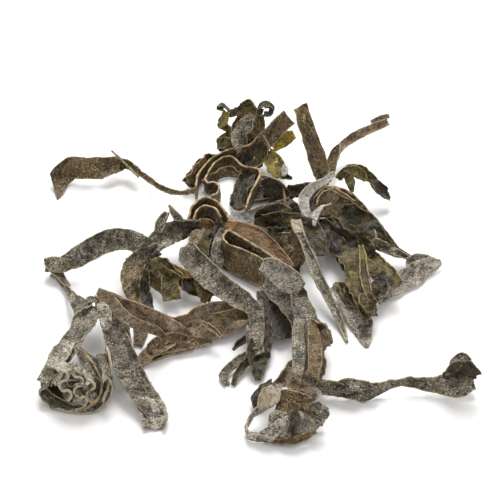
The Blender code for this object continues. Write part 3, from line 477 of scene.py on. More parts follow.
# Smaller folds, frills and tabs that grow from the straps above.
FOLDS = [
    strap("back_top_band", OLIVE, CRUMPLED, [
        (229, 114, 17.5, 2.4), (238, 111, 19, 3.8), (245, 108, 20.5, 5.6), (250, 106, 21.5, 7.6),
        (255, 111, 20.8, 4.4), (262, 113, 19.5, 3.4),
    ], turn=-50),
    strap("back_left_tab", OLIVE, CALM, [
        (232, 143, 9.4, 5), (225, 143, 9, 5.6), (217, 144, 8.4, 5),
    ], turn=50),
    strap("back_yellow_tab", OLIVE, CALM, [
        (227, 112, 18.4, 3, 0), (225, 118, 16.6, 4.2, 0), (222, 124, 15, 5, 0), (218, 127, 14, 2, 20),
    ]),
    strap("back_left_curl", DARK, CALM, [
        (231, 116, 16.5, 2.5), (228, 108, 19, 3.2), (222, 103, 20.5, 3.4), (218, 108, 19.4, 3.2),
        (223, 110, 19, 2),
    ], turn=90, up=TO_VIEWER),
    strap("back_right_edge", OLIVE, CRUMPLED, [
        (259, 116, 17.4, 3), (261, 126, 14.4, 4), (258, 136, 11.6, 4), (254, 146, 8, 3),
    ], turn=0),
    strap("back_grey_fold", SAGE, CRUMPLED, [
        (251, 116, 18.6, 3), (246, 125, 16, 7), (240, 134, 13.4, 9), (239, 144, 10.4, 7), (241, 152, 8, 4),
    ], turn=0),
    strap("behind_coil_frill", OLIVE, FRILLED, [
        (264, 148, 8, 4), (262, 156, 6.6, 7), (258, 164, 5, 6), (252, 170, 4.4, 3),
    ], turn=0),
    strap("back_glow", BACKLIT_YELLOW, CRUMPLED, [
        (270, 152, 8, 3), (273, 160, 7.2, 6.5), (276, 169, 6.6, 8.5), (279, 178, 5.6, 5),
    ], turn=0),
    strap("back_pale_nub", SILVER, CRUMPLED, [
        (284, 166, 8, 1.5), (285, 171, 7.4, 3), (284, 177, 6.6, 1.6),
    ], turn=0),
    strap("inner_dark_fold", DARK, CRUMPLED, [
        (249, 166, 2.6, 5.5), (248, 178, 2.2, 7), (243, 189, 1.8, 9), (239, 199, 1.4, 9.5),
        (237, 209, 0.8, 7),
    ], turn=0),
    strap("coil_back_fill", DARK, CRUMPLED, [
        (233, 157, 4, 3), (243, 159, 4.4, 5.6), (254, 162, 4.4, 6.4), (262, 166, 3.6, 4),
    ], turn=-50),
    strap("coil_inner_wall", BROWN, FRILLED, [
        (205, 185, 2.5, 4.6), (212, 179, 2.5, 4.8), (221, 174, 2.5, 4.8), (231, 172, 2.5, 4.6),
        (239, 176, 2.4, 4),
    ], turn=90),
    strap("wall_rim", TAN, ON_EDGE, [
        (261, 176, 11, 1.1), (270, 178, 11, 1.2), (279, 182, 10.5, 1.2), (283, 187, 9.5, 1.4),
        (284, 196, 7.5, 1.6), (285, 205, 5, 1.4),
    ], turn=90),
    strap("coil_end_crease", TAN, ON_EDGE, [
        (261, 131, 13, 0.9), (265, 140, 11.7, 1.1), (270, 149, 9.4, 0.8),
    ], turn=-50),
    strap("pale_film", SILVER, SMOOTH, [
        (262, 215, 2.4, 3, 30), (252, 218, 2.2, 6, 30), (240, 220, 1.8, 7, 30), (230, 215, 1.6, 5, 25),
    ]),
    strap("coil_left_lobe", BROWN, CRUMPLED, [
        (214, 158, 4.6, 5), (204, 163, 5, 8), (196, 172, 5, 8), (186, 183, 4, 6),
    ], turn=60),
    strap("green_fold", MOSS, CRUMPLED, [
        (256, 222, 6.4, 5, -40), (266, 220, 9, 11, -50), (279, 218, 11, 13, -50), (292, 219, 11, 9, -50),
    ]),
    strap("green_fold_front", MOSS, CRUMPLED, [
        (262, 234, 9, 5, -40), (270, 236, 10.4, 9, -50), (281, 237, 11, 9, -50), (289, 232, 10.6, 4, -50),
    ]),
    strap("brown_block", BROWN, CALM, [
        (274, 244, 8.4, 9), (284, 248, 9, 13), (296, 253, 8.6, 13), (303, 259, 7.2, 8),
    ], turn=-50),
    strap("dark_oval", MOSS, CALM, [
        (304, 222, 11, 3), (312, 231, 10.6, 7.5), (318, 243, 9, 7.5), (321, 256, 7, 3),
    ], turn=0),
    strap("orange_band", RUST, SMOOTH, [
        (226, 224, 9, 3), (240, 229, 9.8, 5.6), (255, 236, 10.4, 7.4), (268, 245, 10.4, 6.4),
        (282, 257, 10, 4), (292, 267, 9, 2),
    ], turn=-40),
    strap("under_round_fold", DARK, CALM, [
        (262, 291, 4, 4), (268, 303, 3.6, 9), (275, 316, 3.4, 12), (281, 328, 3.2, 12), (288, 339, 2.6, 7),
    ], turn=0),
    strap("front_knob", DARK, CRUMPLED, [
        (299, 289, 10, 3), (303, 298, 10, 5), (304, 308, 9.4, 3),
    ], turn=0),
    strap("dark_ribbed_block", DARK, CRUMPLED, [
        (181, 230, 11.6, 8), (190, 227, 12, 6.4), (200, 225, 11.8, 4),
    ], turn=-60),
    strap("orange_knee", RUST, CRUMPLED, [
        (198, 222, 11, 3), (206, 224, 10.8, 5), (214, 226, 9.8, 3.4),
    ], turn=-50),
    strap("dark_diagonal", DARK, CRUMPLED, [
        (222, 223, 7.4, 4), (217, 233, 6.6, 5.4), (212, 244, 5.6, 5.6), (209, 256, 4, 4.4),
    ], turn=0),
    strap("left_knot", GREY, CRUMPLED, [
        (158, 249, 9.4, 5), (149, 254, 9.2, 7), (139, 259, 8.8, 7.4), (128, 263, 8, 5),
    ], turn=45),
    strap("brown_box", DARK, CALM, [
        (189, 271, 7, 5.6), (189, 281, 6.4, 6.6), (190, 290, 5.4, 6.2),
    ], turn=0),
    strap("gold_ledge", RUST, FRILLED, [
        (173, 266, 8.4, 1), (180, 271, 8.6, 3), (189, 275, 8.6, 2.8), (197, 273, 8.4, 1),
    ], turn=-50),
    strap("cluster_roll", SAGE, ROLLED, [
        (158, 233, 10.6, 4.4), (161, 224, 12.4, 5.6), (165, 216, 14.4, 5), (167, 212, 15.4, 2.4),
    ], turn=0),
    strap("gold_crinkle", TAN, FRILLED, [
        (199, 231, 10.8, 3), (196, 237, 10.4, 4.6), (193, 245, 9, 3.4),
    ], turn=0),
    strap("olive_tab", OLIVE, CALM, [
        (169, 277, 7.6, 6.4), (170, 288, 6, 7.6), (172, 300, 4, 7),
    ], turn=0),
    strap("olive_back_fold", OLIVE, CRUMPLED, [
        (150, 262, 8.4, 5, -45), (162, 268, 8.6, 8, -50), (174, 277, 7.6, 8, -50), (186, 283, 6, 5, -50),
    ]),
    strap("hanging_gold_fold", OLIVE, CRUMPLED, [
        (196, 272, 8, 2), (200, 282, 6.8, 4.6), (204, 293, 5.4, 5), (203, 303, 4, 2),
    ], turn=0),
    strap("olive_shelf", OLIVE, FRILLED, [
        (180, 280, 6.4, 5), (190, 281, 6, 8), (201, 286, 5.4, 8), (212, 297, 4, 5),
    ], turn=-50),
    strap("left_frill_side", DARK, FRILLED, [
        (146, 256, 7, 4), (144, 268, 6.2, 6), (143, 281, 4.6, 6), (145, 293, 3, 4), (147, 306, 1.4, 5),
        (148, 322, 0.6, 5),
    ], turn=0),
    strap("rolled_tan_strap", TAN, SMOOTH, [
        (98, 291, 17, 2.4, -50), (106, 297, 17, 4.6, -50), (113, 305, 17, 5.4, -50),
        (120, 313, 16.6, 4.8, -40), (130, 321, 15.4, 4, -40), (145, 327, 13.2, 3.6, -50),
        (157, 331, 11.4, 3.2, -50), (165, 337, 9.4, 1.8, -40),
    ]),
    strap("leaf_inner_fold", OLIVE, CALM, [
        (213, 315, 7.8, 1), (226, 315, 8, 3), (238, 314, 8, 5), (250, 312, 7.8, 5.4),
    ], turn=-40),
    strap("leaf_lens", BROWN, ROLLED, [
        (201, 322, 6.6, 1), (208, 327, 6.6, 3), (216, 333, 6.2, 3), (222, 338, 5.6, 1),
    ], turn=0),
    strap("leaf_under_fold", TAN, CALM, [
        (176, 337, 4.6, 4, 30), (166, 343, 3.8, 7, 20), (155, 350, 2.4, 8, 10), (146, 358, 1.2, 7, 0),
        (139, 366, 0.5, 3, 0),
    ]),
    strap("leaf_under_fill", BROWN, CALM, [
        (150, 351, 2.6, 6, -20), (165, 344, 3.8, 8, -25), (181, 342, 3.8, 7, -25),
        (198, 342.5, 3.2, 4, -25), (212, 341, 2.8, 1.5, -25),
    ]),
    strap("rosette_fold_a", SALTED, ON_EDGE, [
        (58, 364, 13, 5), (66, 372, 11.6, 6.5), (63, 382, 9, 6.5), (70, 391, 7, 6.5), (66, 400, 4.8, 5),
    ], turn=90, up=TO_VIEWER),
    strap("rosette_fold_b", SALTED, ON_EDGE, [
        (74, 368, 13, 5), (81, 378, 10.6, 6.5), (77, 388, 8.4, 6.5), (85, 396, 6, 6.5), (82, 405, 3.8, 5),
    ], turn=90, up=TO_VIEWER),
    strap("rosette_fold_c", SALTED, ON_EDGE, [
        (86, 370, 11.6, 5), (92, 382, 8.6, 6.5), (89, 392, 6.4, 6.5), (95, 401, 4, 5),
    ], turn=90, up=TO_VIEWER),
    strap("rosette_back_fold", DARK, CALM, [
        (48, 386, 5, 5), (55, 392, 4, 6), (64, 397, 3.2, 6), (74, 400, 3, 6),
    ], turn=90, up=TO_VIEWER),
    strap("foot_curl", GREY, CALM, [
        (84, 308, 9, 2.5), (89, 300, 10.6, 3.4), (96, 301, 10.6, 3.2), (96, 308, 9.2, 2),
    ], turn=90, up=TO_VIEWER),
    strap("arch_foot_knob", SAGE, CALM, [
        (45, 265, 5, 5.4), (52, 264, 5.8, 6.4), (60, 265, 6.2, 6.2), (70, 265, 6.4, 4),
    ], turn=-50),
    strap("broad_green_sheet", MOSS, CRUMPLED, [
        (342, 212, 12.4, 8, -45), (352, 217, 12.2, 12, -45), (363, 225, 11.6, 12.6, -42),
        (374, 234, 10.4, 10, -42), (385, 244, 8.4, 6, -40),
    ]),
    strap("left_drop", DARK, CRUMPLED, [
        (322, 222, 9, 5), (329, 233, 8, 8), (337, 246, 6.4, 8), (343, 260, 4.6, 5), (344, 270, 3.4, 2),
    ], turn=0),
    strap("yellow_tab_left", OLIVE, CALM, [
        (353, 260, 9.6, 4), (352, 270, 8.2, 5.5), (351, 281, 6, 3),
    ], turn=0),
    strap("yellow_tab_right", OLIVE, CALM, [
        (364, 260, 9.2, 3), (371, 269, 8.4, 5.5), (377, 279, 6.6, 2.5),
    ], turn=0),
    strap("olive_rib", OLIVE, ROLLED, [
        (361, 246, 10, 2.5), (363, 260, 10.8, 4), (364, 275, 10.4, 4.6), (367, 290, 9.6, 4.6),
        (371, 303, 8, 2),
    ], turn=0),
    strap("right_dark_fold", DARK, CRUMPLED, [
        (385, 273, 9, 3), (382, 281, 8.4, 6), (378, 291, 7, 7), (374, 300, 5.4, 4),
    ], turn=0),
    strap("lower_olive_tab", OLIVE, CRUMPLED, [
        (363, 294, 9, 5), (367, 304, 7.8, 9), (371, 315, 5.8, 7),
    ], turn=0),
    strap("olive_tail", DARK, CRUMPLED, [
        (346, 288, 6, 3), (352, 295, 6, 6), (357, 304, 5, 5),
    ], turn=0),
    strap("right_tip_fold", SALTED, CALM, [
        (406, 262, 3.4, 3, -30), (416, 262, 4, 7, -40), (428, 263, 3.8, 7, -40), (440, 262, 2.8, 1.5, -40),
    ]),
    strap("hanging_curl", OLIVE, CRUMPLED, [
        (344, 170, 12.6, 2, -40), (353, 170, 13.6, 4, -50), (362, 176, 12, 4, -40),
        (366, 181, 10.8, 1.5, -30),
    ]),
    strap("hanging_foot", DARK, CRUMPLED, [
        (372, 180, 10.4, 4), (379, 188, 8, 6), (385, 195, 5.4, 6), (390, 198, 4, 3),
    ], turn=-20),
    strap("finger_back_sheet", DARK, CRUMPLED, [
        (261, 310, 5, 4), (266, 325, 4.8, 6), (268, 340, 4.2, 5.4), (266, 354, 3.2, 4),
    ], turn=0),
    strap("finger_crease", GREY, SMOOTH, [
        (256, 300, 9.4, 5), (256, 315, 8, 6), (255, 330, 7, 6.2), (255, 341, 6, 6.2), (255, 348, 5.2, 5),
    ], turn=0),
    strap("front_tan_sheet", TAN, CRUMPLED, [
        (295, 362, 9, 3), (291, 371, 8.4, 6), (284, 379, 7.8, 6), (274, 387, 7, 3),
    ], turn=40),
    strap("pale_loop_sheet", PAPER, SMOOTH, [
        (276, 388, 11, 4.4, 0), (271, 395, 10.2, 7.4, 20), (265, 402, 8.8, 6, 35), (259, 409, 7, 2, 50),
    ]),
    strap("front_lump_a", BROWN, CRUMPLED, [
        (276, 396, 8.6, 4, -30), (286, 401, 9.6, 8, -40), (298, 404, 9.6, 9, -40), (309, 405, 9, 6, -40),
    ]),
    strap("front_lump_b", BROWN, CRUMPLED, [
        (278, 405, 7.4, 4), (290, 411, 7.6, 7), (302, 412, 7.4, 6), (311, 409, 7.4, 3),
    ], turn=-50),
    strap("front_lump_c", BROWN, CRUMPLED, [
        (290, 383, 9, 4), (299, 389, 9.4, 8), (308, 394, 9, 8), (310, 402, 8.4, 4),
    ], turn=0),
    strap("ribbed_fin", SAGE, FRILLED, [
        (307, 410, 8.6, 5, -40), (316, 412, 8.6, 9, -50), (326, 417, 7.2, 8, -50),
    ]),
    strap("loop_inner_face", SAGE, CALM, [
        (273, 412, 8, 3), (279, 421, 7, 9), (282, 430, 5.4, 9), (281, 438, 3.6, 5),
    ], turn=0),
    strap("side_fin_tip", TAN, CRUMPLED, [
        (311, 322, 14, 4), (318, 330, 13.6, 9), (325, 338, 13, 9), (332, 344, 12, 2),
    ], turn=-50),
    strap("side_fin_side", BROWN, CRUMPLED, [
        (316, 345, 8, 6), (318, 358, 7.4, 7), (316, 372, 6.6, 7), (313, 386, 5.6, 5),
    ], turn=0),
    strap("right_strap_fold", GREY, CRUMPLED, [
        (334, 388, 5, 3), (346, 384, 6.8, 5), (358, 385, 6.4, 5.5), (368, 389, 5.2, 4),
        (378, 390, 4.2, 1.5),
    ], turn=-60),
    strap("right_strap_under", SAGE, CALM, [
        (318, 386, 4, 3), (330, 385, 5.4, 4.4), (343, 388, 5, 4), (352, 391, 4.4, 2),
    ], turn=-60),
    strap("end_curl_fold", DARK, CRUMPLED, [
        (444, 377, 8, 3, -56), (455, 370, 10.4, 7, -56), (467, 369, 10.4, 8, -54), (477, 376, 8, 4, -50),
    ]),
    strap("coil_dark_floor", DARK, CALM, [
        (247, 201, 0.7, 5), (257, 197, 0.7, 10), (270, 195, 0.7, 12.6), (281, 198, 0.7, 9),
    ], turn=0),
    strap("small_coil_fill", DARK, CRUMPLED, [
        (195, 220, 3, 4), (204, 217, 3.2, 7.4), (214, 220, 3, 7), (222, 226, 3, 3),
    ], turn=0),
    strap("pale_square", PAPER, SMOOTH, [
        (296, 220, 16, 3.8), (297, 226, 15.6, 4.4), (298.5, 233, 15, 3.4),
    ], turn=0),
    strap("broad_gold_rim", TAN, ROLLED, [
        (325, 186, 16.4, 1.2), (333, 189, 16.4, 2), (344, 195, 16, 1.8), (355, 202, 15.4, 1),
    ], turn=-50),
    strap("twist_streaks", SAGE, CRUMPLED, [
        (374, 240, 10, 3, -40), (384, 247, 8.6, 5.4, -40), (395, 252, 6.6, 4.4, -40),
        (405, 256, 5, 2.6, -30), (413, 260, 3.6, 1, -20),
    ]),
    strap("pale_inner_crescent", SILVER, SMOOTH, [
        (331, 204, 14.6, 1, -50), (322, 207, 14.4, 2.4, -30), (316, 214, 13.6, 2.8, 0),
        (314, 226, 12.4, 1, 0),
    ]),
    strap("hairpin_left_face", SAGE, CALM, [
        (224, 229, 8, 3), (219, 240, 7.4, 4.4), (217, 252, 6.4, 5), (219, 264, 4.6, 4),
    ], turn=0),
    strap("foot_top", SAGE, CALM, [
        (49, 263, 4.6, 5), (56, 270, 3.8, 5.4), (62, 278, 2.6, 3.2), (68, 287, 2.4, 2.2),
    ], turn=0),
    strap("foot_front", SAGE, CALM, [
        (93, 307, 9.4, 4.6), (89, 319, 10.2, 7.6), (80, 332, 10.8, 9), (70, 345, 10.8, 9),
        (61, 358, 9.8, 8.6), (52, 372, 8, 8), (45, 384, 5.8, 6.6),
    ], turn=0),
    strap("centre_grey_band", SAGE, SMOOTH, [
        (299, 316, 13.8, 3), (298, 333, 13.6, 4.2), (299, 352, 12.2, 4.6), (298, 370, 10.4, 4),
        (295, 385, 9, 3),
    ], turn=0),
    strap("loop_shadow_fold", DARK, CRUMPLED, [
        (293, 411, 8.8, 4), (295, 423, 7, 5), (292, 434, 5.4, 4),
    ], turn=0),
    strap("loop_gold_rim", BROWN, FRILLED, [
        (256, 437, 1.8, 2), (272, 441, 1.8, 2.4), (292, 441, 2.4, 2.6), (307, 436, 3.6, 2.8),
        (316, 431, 4.6, 1.6),
    ], turn=-50),
    strap("stem_grey_tip", SAGE, CALM, [
        (371, 122, 10, 1.4), (380, 118.5, 10.4, 2.6), (389, 116, 10.2, 2),
    ], turn=-40),
    strap("block_face", TAN, CALM, [
        (317, 211, 10.6, 6), (327, 204, 11.4, 12), (340, 203, 12, 12.8), (353, 209, 11.6, 9),
    ], turn=-50),
    strap("upper_tan_roll", TAN, SMOOTH, [
        (110, 298, 17.8, 3.4), (122, 305, 17.2, 5), (138, 311, 15.8, 5.6), (158, 319, 13.4, 5.2),
        (176, 327, 11, 3.8), (192, 335, 9.4, 1.6),
    ], turn=-50),
    strap("knob_crinkle", SALTED, FRILLED, [
        (101, 303, 17.8, 3), (104, 312, 17.4, 5), (106, 322, 16.4, 5), (105, 331, 14.6, 2),
    ], turn=0),
    strap("front_left_end", SALTED, CALM, [
        (137, 386, 3.4, 8.4), (146, 399, 2.8, 10.6), (153, 412, 2, 10.8), (155, 421, 1.4, 10.2),
        (155, 429, 0.8, 8.4),
    ], turn=0),
    strap("front_left_top", SAGE, CALM, [
        (118, 320, 8.8, 8), (119, 334, 8.4, 9), (121, 348, 7.4, 8.6), (125, 361, 6.2, 8), (131, 372, 5, 6),
    ], turn=0),
    strap("rosette_inner_rim", TAN, ON_EDGE, [
        (79, 347, 12.6, 1.2), (88, 358, 11.2, 1.2), (97, 371, 9.4, 1.3), (102, 386, 6.8, 1.3),
        (98, 400, 4.2, 1.4), (87, 407, 2.8, 1.4), (75, 411, 1.8, 1.4),
    ], turn=90),
    strap("rosette_right_wall", SALTED, ON_EDGE, [
        (106, 348, 12.6, 3), (109, 360, 11, 4.6), (111, 375, 8.2, 5), (109, 391, 5, 5), (103, 403, 3, 4),
    ], turn=90),
    strap("lower_left_salt", SALTED, CALM, [
        (70, 342, 11.7, 5), (63, 351, 11.4, 8), (57, 360, 10.7, 8), (51, 368, 9.8, 4),
    ], turn=0),
    strap("right_gap_sheet", MOSS, CRUMPLED, [
        (322, 224, 6.8, 8, -45), (335, 231, 7, 12, -45), (349, 238, 7, 12, -45), (362, 246, 6.6, 10, -42),
        (374, 254, 6, 5, -40),
    ]),
    # Painted highlight: a pale strip laid on the olive sheet where a bright highlight falls.
    strap("painted_highlight_shoulder", SALTED, SMOOTH, [
        (371, 228, 11.2, 2, -40), (372, 235, 10.6, 4, -30), (375, 243, 9.4, 2, -20),
    ]),
    strap("front_brown_side", BROWN, CALM, [
        (311, 322, 14.2, 2.4), (314, 335, 14, 4.4), (315, 350, 13.2, 5), (315, 365, 12, 5),
        (312, 378, 10.6, 4),
    ], turn=0),
    strap("gold_spot", TAN, CALM, [
        (303, 399, 10.2, 1.2), (306, 404, 9.8, 2.4), (306, 410, 9, 1),
    ], turn=0),
    strap("lower_finger_prong", DARK, CALM, [
        (252, 357, 3.4, 2.8, 40), (242, 366, 2.6, 3, 40), (236, 376, 1.8, 2.6, 30),
        (233, 385, 0.8, 1.4, 0),
    ]),
    strap("tall_foot", DARK, CALM, [
        (325, 185, 8, 5.4), (320, 196, 6.4, 7), (315, 208, 5, 8), (311, 220, 3.6, 8), (309, 232, 2, 6),
    ], turn=0),
    strap("back_link", DARK, CRUMPLED, [
        (283, 195, 4.4, 5, -45), (293, 192, 6, 6, -50), (305, 189, 7.6, 6, -50), (316, 187, 8, 5.4, -50),
        (325, 185, 7.8, 3, -50),
    ]),
    strap("centre_floor_sheet", MOSS, CRUMPLED, [
        (214, 236, 0.8, 8), (232, 238, 0.8, 12), (252, 238, 0.8, 13), (272, 236, 0.8, 14),
        (292, 231, 0.8, 15), (310, 229, 0.8, 15), (328, 232, 0.8, 13), (343, 240, 0.8, 8),
    ], turn=0),
    strap("centre_floor_tail", DARK, CRUMPLED, [
        (283, 200, 0.8, 8), (288, 211, 0.8, 9.6), (291, 224, 0.8, 9.6), (292, 234, 0.8, 7),
    ], turn=0),
]


def view_axes():
    """The view's forward and upward directions, and the place of its eye in mm."""
    forward = np.array([0.0, cos(VIEW_ELEVATION), -sin(VIEW_ELEVATION)])
    upward = np.array([0.0, sin(VIEW_ELEVATION), cos(VIEW_ELEVATION)])
    eye = np.array(VIEW_TARGET) - forward * VIEW_DISTANCE
    return forward, upward, eye


def place(column, row, height):
    """The point, in mm, that the view shows at this column and row and that lies height above the table."""
    forward, upward, eye = view_axes()
    rightward = np.array([1.0, 0.0, 0.0])
    slope = MM_PER_PIXEL / VIEW_DISTANCE
    ray = forward + rightward * (column - PHOTO_MIDDLE) * slope + upward * (PHOTO_MIDDLE - row) * slope
    return eye + ray * (height - eye[2]) / ray[2]


def unit(vectors):
    """The same vectors at a length of 1."""
    return vectors / np.maximum(np.linalg.norm(vectors, axis=-1, keepdims=True), 1e-9)


def smooth_curve(knots, values, at):
    """A cubic curve through the values at the knots, read at the places at."""
    gaps = np.diff(knots)[:, None]
    rises = np.diff(values, axis=0) / gaps
    slopes = np.zeros_like(values)
    slopes[1:-1] = (rises[:-1] * gaps[1:] + rises[1:] * gaps[:-1]) / (gaps[:-1] + gaps[1:])
    slopes[0] = rises[0]
    slopes[-1] = rises[-1]
    first = np.clip(np.searchsorted(knots, at, "right") - 1, 0, len(knots) - 2)
    span = (knots[first + 1] - knots[first])[:, None]
    t = (at[:, None] - knots[first][:, None]) / span
    return (
        (2 * t**3 - 3 * t**2 + 1) * values[first]
        + (t**3 - 2 * t**2 + t) * span * slopes[first]
        + (3 * t**2 - 2 * t**3) * values[first + 1]
        + (t**3 - t**2) * span * slopes[first + 1]
    )


def middle_line(route, kinked):
    """Evenly spaced points along a route, with its heading, width, turn and the distance run at each.

    Kinked is how far each bend is drawn in to a sharp fold at its station, from 0 to 1.
    """
    points = np.array([place(column, row, height) for column, row, height, _, _ in route])
    shape = np.array([(width, turn) for *_, width, turn in route], float)
    knots = np.concatenate([[0.0], np.cumsum(np.linalg.norm(np.diff(points, axis=0), axis=1))])
    fine = np.linspace(0, knots[-1], CURVE_SAMPLES)
    curve = smooth_curve(knots, points, fine)
    run = np.concatenate([[0.0], np.cumsum(np.linalg.norm(np.diff(curve, axis=0), axis=1))])
    count = max(FEWEST_ROWS, round(run[-1] / FINE_STEP) + 1)
    distance = np.linspace(0, run[-1], count)
    at = np.interp(distance, run, fine)
    stations = np.hstack([points, shape])
    curved = smooth_curve(knots, stations, at)
    straight = np.stack([np.interp(at, knots, column) for column in stations.T], axis=1)
    line = curved * (1 - kinked) + straight * kinked
    ahead = unit(np.gradient(curved[:, :3], axis=0))
    return line[:, :3], ahead, np.maximum(line[:, 3], LEAST_WIDTH), np.radians(line[:, 4]), distance


def noise(x, y, seed, angular=False):
    """Noise from -1 to 1 over a plane, with one bump to each unit, smooth or with straight slopes.

    Where it is called, a length is divided by the size of the bumps, both in mm.
    """
    size = 64
    heights = np.random.default_rng(seed).uniform(-1, 1, (size, size))
    left = np.floor(x).astype(int)
    low = np.floor(y).astype(int)
    fx = x - left
    fy = y - low
    if not angular:
        fx = fx * fx * (3 - 2 * fx)
        fy = fy * fy * (3 - 2 * fy)
    left, right = left % size, (left + 1) % size
    low, high = low % size, (low + 1) % size
    bottom = heights[left, low] * (1 - fx) + heights[right, low] * fx
    top = heights[left, high] * (1 - fx) + heights[right, high] * fx
    return bottom * (1 - fy) + top * fy


def crumple_height(along, across, seed):
    """Folds of a dried sheet: broad bumps, with sharp creases that mostly run along it."""
    broad = noise(along / 7, across / 5, seed, angular=True)
    creases = 1 - 2 * np.abs(noise(along / 5 + 9, across / 2.4, seed + 1, angular=True))
    small = noise(along / 2.0, across / 1.4, seed + 2, angular=True)
    return 0.55 * broad + 0.5 * creases + 0.22 * small


def section_bend(piece, widths, distance, share, seed):
    """The angle of the sheet across a strap at each point: its cup, curled margins and lengthwise folds."""
    form = piece["form"]
    fade = np.clip(widths[:, None] / FULL_FOLD_WIDTH, 0.25, 1)
    along = distance + 0 * share
    cup = radians(form["cup"]) * (1 + 0.5 * noise(distance / 11, 0 * share, seed + 2)) * share
    side = np.where(share < 0, 0.0, FAR_MARGIN) + 0 * distance
    rolled = np.clip(noise(along / 8, side, seed + 6) + form["curled"], 0, 1)
    outermost = np.clip((np.abs(share) - CURL_START) / (1 - CURL_START), 0, 1)
    curl = radians(form["curl"]) * rolled * outermost**1.5 * np.sign(share)
    across = share * widths[:, None] / 2
    folds = noise(along / 9, across / 2.6, seed + 7)
    folds = folds + 0.5 * noise(distance / 4, across / 1.4, seed + 9)
    return cup + curl + radians(form["folds"]) * folds * fade


def fine_sheet(piece, seed):
    """The sheet halfway through a strap as a grid of points, with its places along and across in mm."""
    form = piece["form"]
    line, ahead, widths, turns, run = middle_line(piece["route"], form["kinked"])
    columns = int(np.clip(round(widths.max() / FINE_STEP) + 1, FEWEST_COLUMNS, MOST_COLUMNS))
    share = np.linspace(-1, 1, columns)[None, :]
    distance = run[:, None]
    side = np.where(share < 0, 0.0, FAR_MARGIN)

    ragged = form["ragged"] * np.minimum(widths / FULL_FOLD_WIDTH, 1)[:, None]
    margin = 0.65 * noise(distance / 5, side, seed, angular=True)
    margin = margin + 0.4 * noise(distance / 1.8, side, seed + 1, angular=True)
    half = np.maximum(widths[:, None] / 2 + ragged * margin, 0.35 * widths[:, None] / 2)
    across = half * share
    along = distance + 0 * across

    bend = section_bend(piece, widths, distance, share, seed)
    pace = half * 2 / (columns - 1)
    between = (bend[:, 1:] + bend[:, :-1]) / 2
    zero = np.zeros((len(run), 1))
    flat = np.hstack([zero, np.cumsum(np.cos(between), axis=1)]) * pace
    lift = np.hstack([zero, np.cumsum(np.sin(between), axis=1)]) * pace
    flat = flat - (flat[:, :1] + flat[:, -1:]) / 2
    lift = lift - lift.mean(axis=1, keepdims=True)

    swing = noise(distance / form["wave"] * 2, side, seed + 3)
    swing = swing + 0.4 * noise(distance / form["wave"] * 5, side, seed + 4)
    narrow = np.minimum(widths / FULL_CRUMPLE_WIDTH, 1)[:, None]
    lift = lift + form["ruffle"] * narrow * np.abs(share) ** 1.7 * swing
    lift = lift + form["crumple"] * narrow * crumple_height(along, across, seed + 5)

    ends = np.minimum(run, run[-1] - run)[:, None]
    at_start = (run < run[-1] / 2)[:, None]
    way = np.where(at_start, -1.0, 1.0)
    near_end = np.clip(1 - ends / TEAR_REACH, 0, 1)
    torn = form["tear"] * narrow * way * near_end * noise(share * 2.2 + 3, way, seed + 8)
    slants = np.tan(np.radians(np.where(at_start, *piece["cut"])))
    torn = torn + slants * across * np.clip(1 - ends / SLANT_REACH, 0, 1)

    sideways = unit(np.cross(ahead, piece["up"]))
    rise = np.cross(sideways, ahead)
    out = sideways * np.cos(turns)[:, None] + rise * np.sin(turns)[:, None]
    face = np.cross(out, ahead)
    sheet = (
        line[:, None]
        + out[:, None] * flat[..., None]
        + face[:, None] * lift[..., None]
        + ahead[:, None] * torn[..., None]
    )
    sheet[..., 2] = np.maximum(sheet[..., 2], LEAST_HEIGHT)
    return sheet, along, across, half


def fine_shell(piece, seed):
    """Both skins of a strap and its rounded margins as rings of points, and what is stored at each.

    It also gives the sheet's normals, in the same rings, and its number of columns.
    """
    sheet, along, across, half = fine_sheet(piece, seed)
    normals = unit(np.cross(np.gradient(sheet, axis=1), np.gradient(sheet, axis=0)))
    rows, columns, _ = sheet.shape
    thickness = piece["form"]["thick"] * (1 + 0.15 * noise(along / 3, across / 3, seed + 11))[..., None]
    outward = unit(np.gradient(sheet, axis=1))
    bulge = 0.35 * thickness
    upper = sheet + normals * thickness / 2
    lower = sheet - normals * thickness / 2
    right = sheet[:, -1:] + outward[:, -1:] * bulge[:, -1:]
    left = sheet[:, :1] - outward[:, :1] * bulge[:, :1]
    rings = np.concatenate([upper, right, lower[:, ::-1], left], axis=1)
    rings[..., 2] = np.maximum(rings[..., 2], LOWEST)

    to_margin = half - np.abs(across)
    to_end = np.minimum(along, along[-1:] - along)
    rim = piece["form"]["rim"] * np.clip(1 - np.minimum(to_margin, to_end * 1.2) / RIM_WIDTH, 0, 1)

    def ring_of(values, at_margin=None):
        margins = values[:, [-1, 0]] if at_margin is None else np.full((rows, 2), at_margin)
        return np.concatenate([values, margins[:, :1], values[:, ::-1], margins[:, 1:]], axis=1)

    sheet_normals = np.concatenate([normals, normals[:, -1:], normals[:, ::-1], normals[:, :1]], axis=1)
    return rings, {
        "rim": ring_of(rim * 0.55, piece["form"]["rim"]),
        "along": ring_of(along),
        "across": ring_of(across),
    }, sheet_normals, columns


def shell_faces(rows, columns):
    """The faces around and along the rings, and those that close both ends."""
    ring = 2 * columns + 2
    grid = np.arange(rows * ring).reshape(rows, ring)
    after = np.roll(grid, -1, axis=1)
    faces = np.stack([grid[:-1], after[:-1], after[1:], grid[1:]], axis=-1).reshape(-1, 4).tolist()
    for row, turned in ((0, True), (rows - 1, False)):
        upper = grid[row, :columns]
        lower = grid[row, columns + 1 : 2 * columns + 1][::-1]
        caps = [(upper[c], upper[c + 1], lower[c + 1], lower[c]) for c in range(columns - 1)]
        caps.append((upper[-1], grid[row, columns], lower[-1]))
        caps.append((upper[0], lower[0], grid[row, -1]))
        faces += [tuple(int(v) for v in (cap[::-1] if turned else cap)) for cap in caps]
    return faces


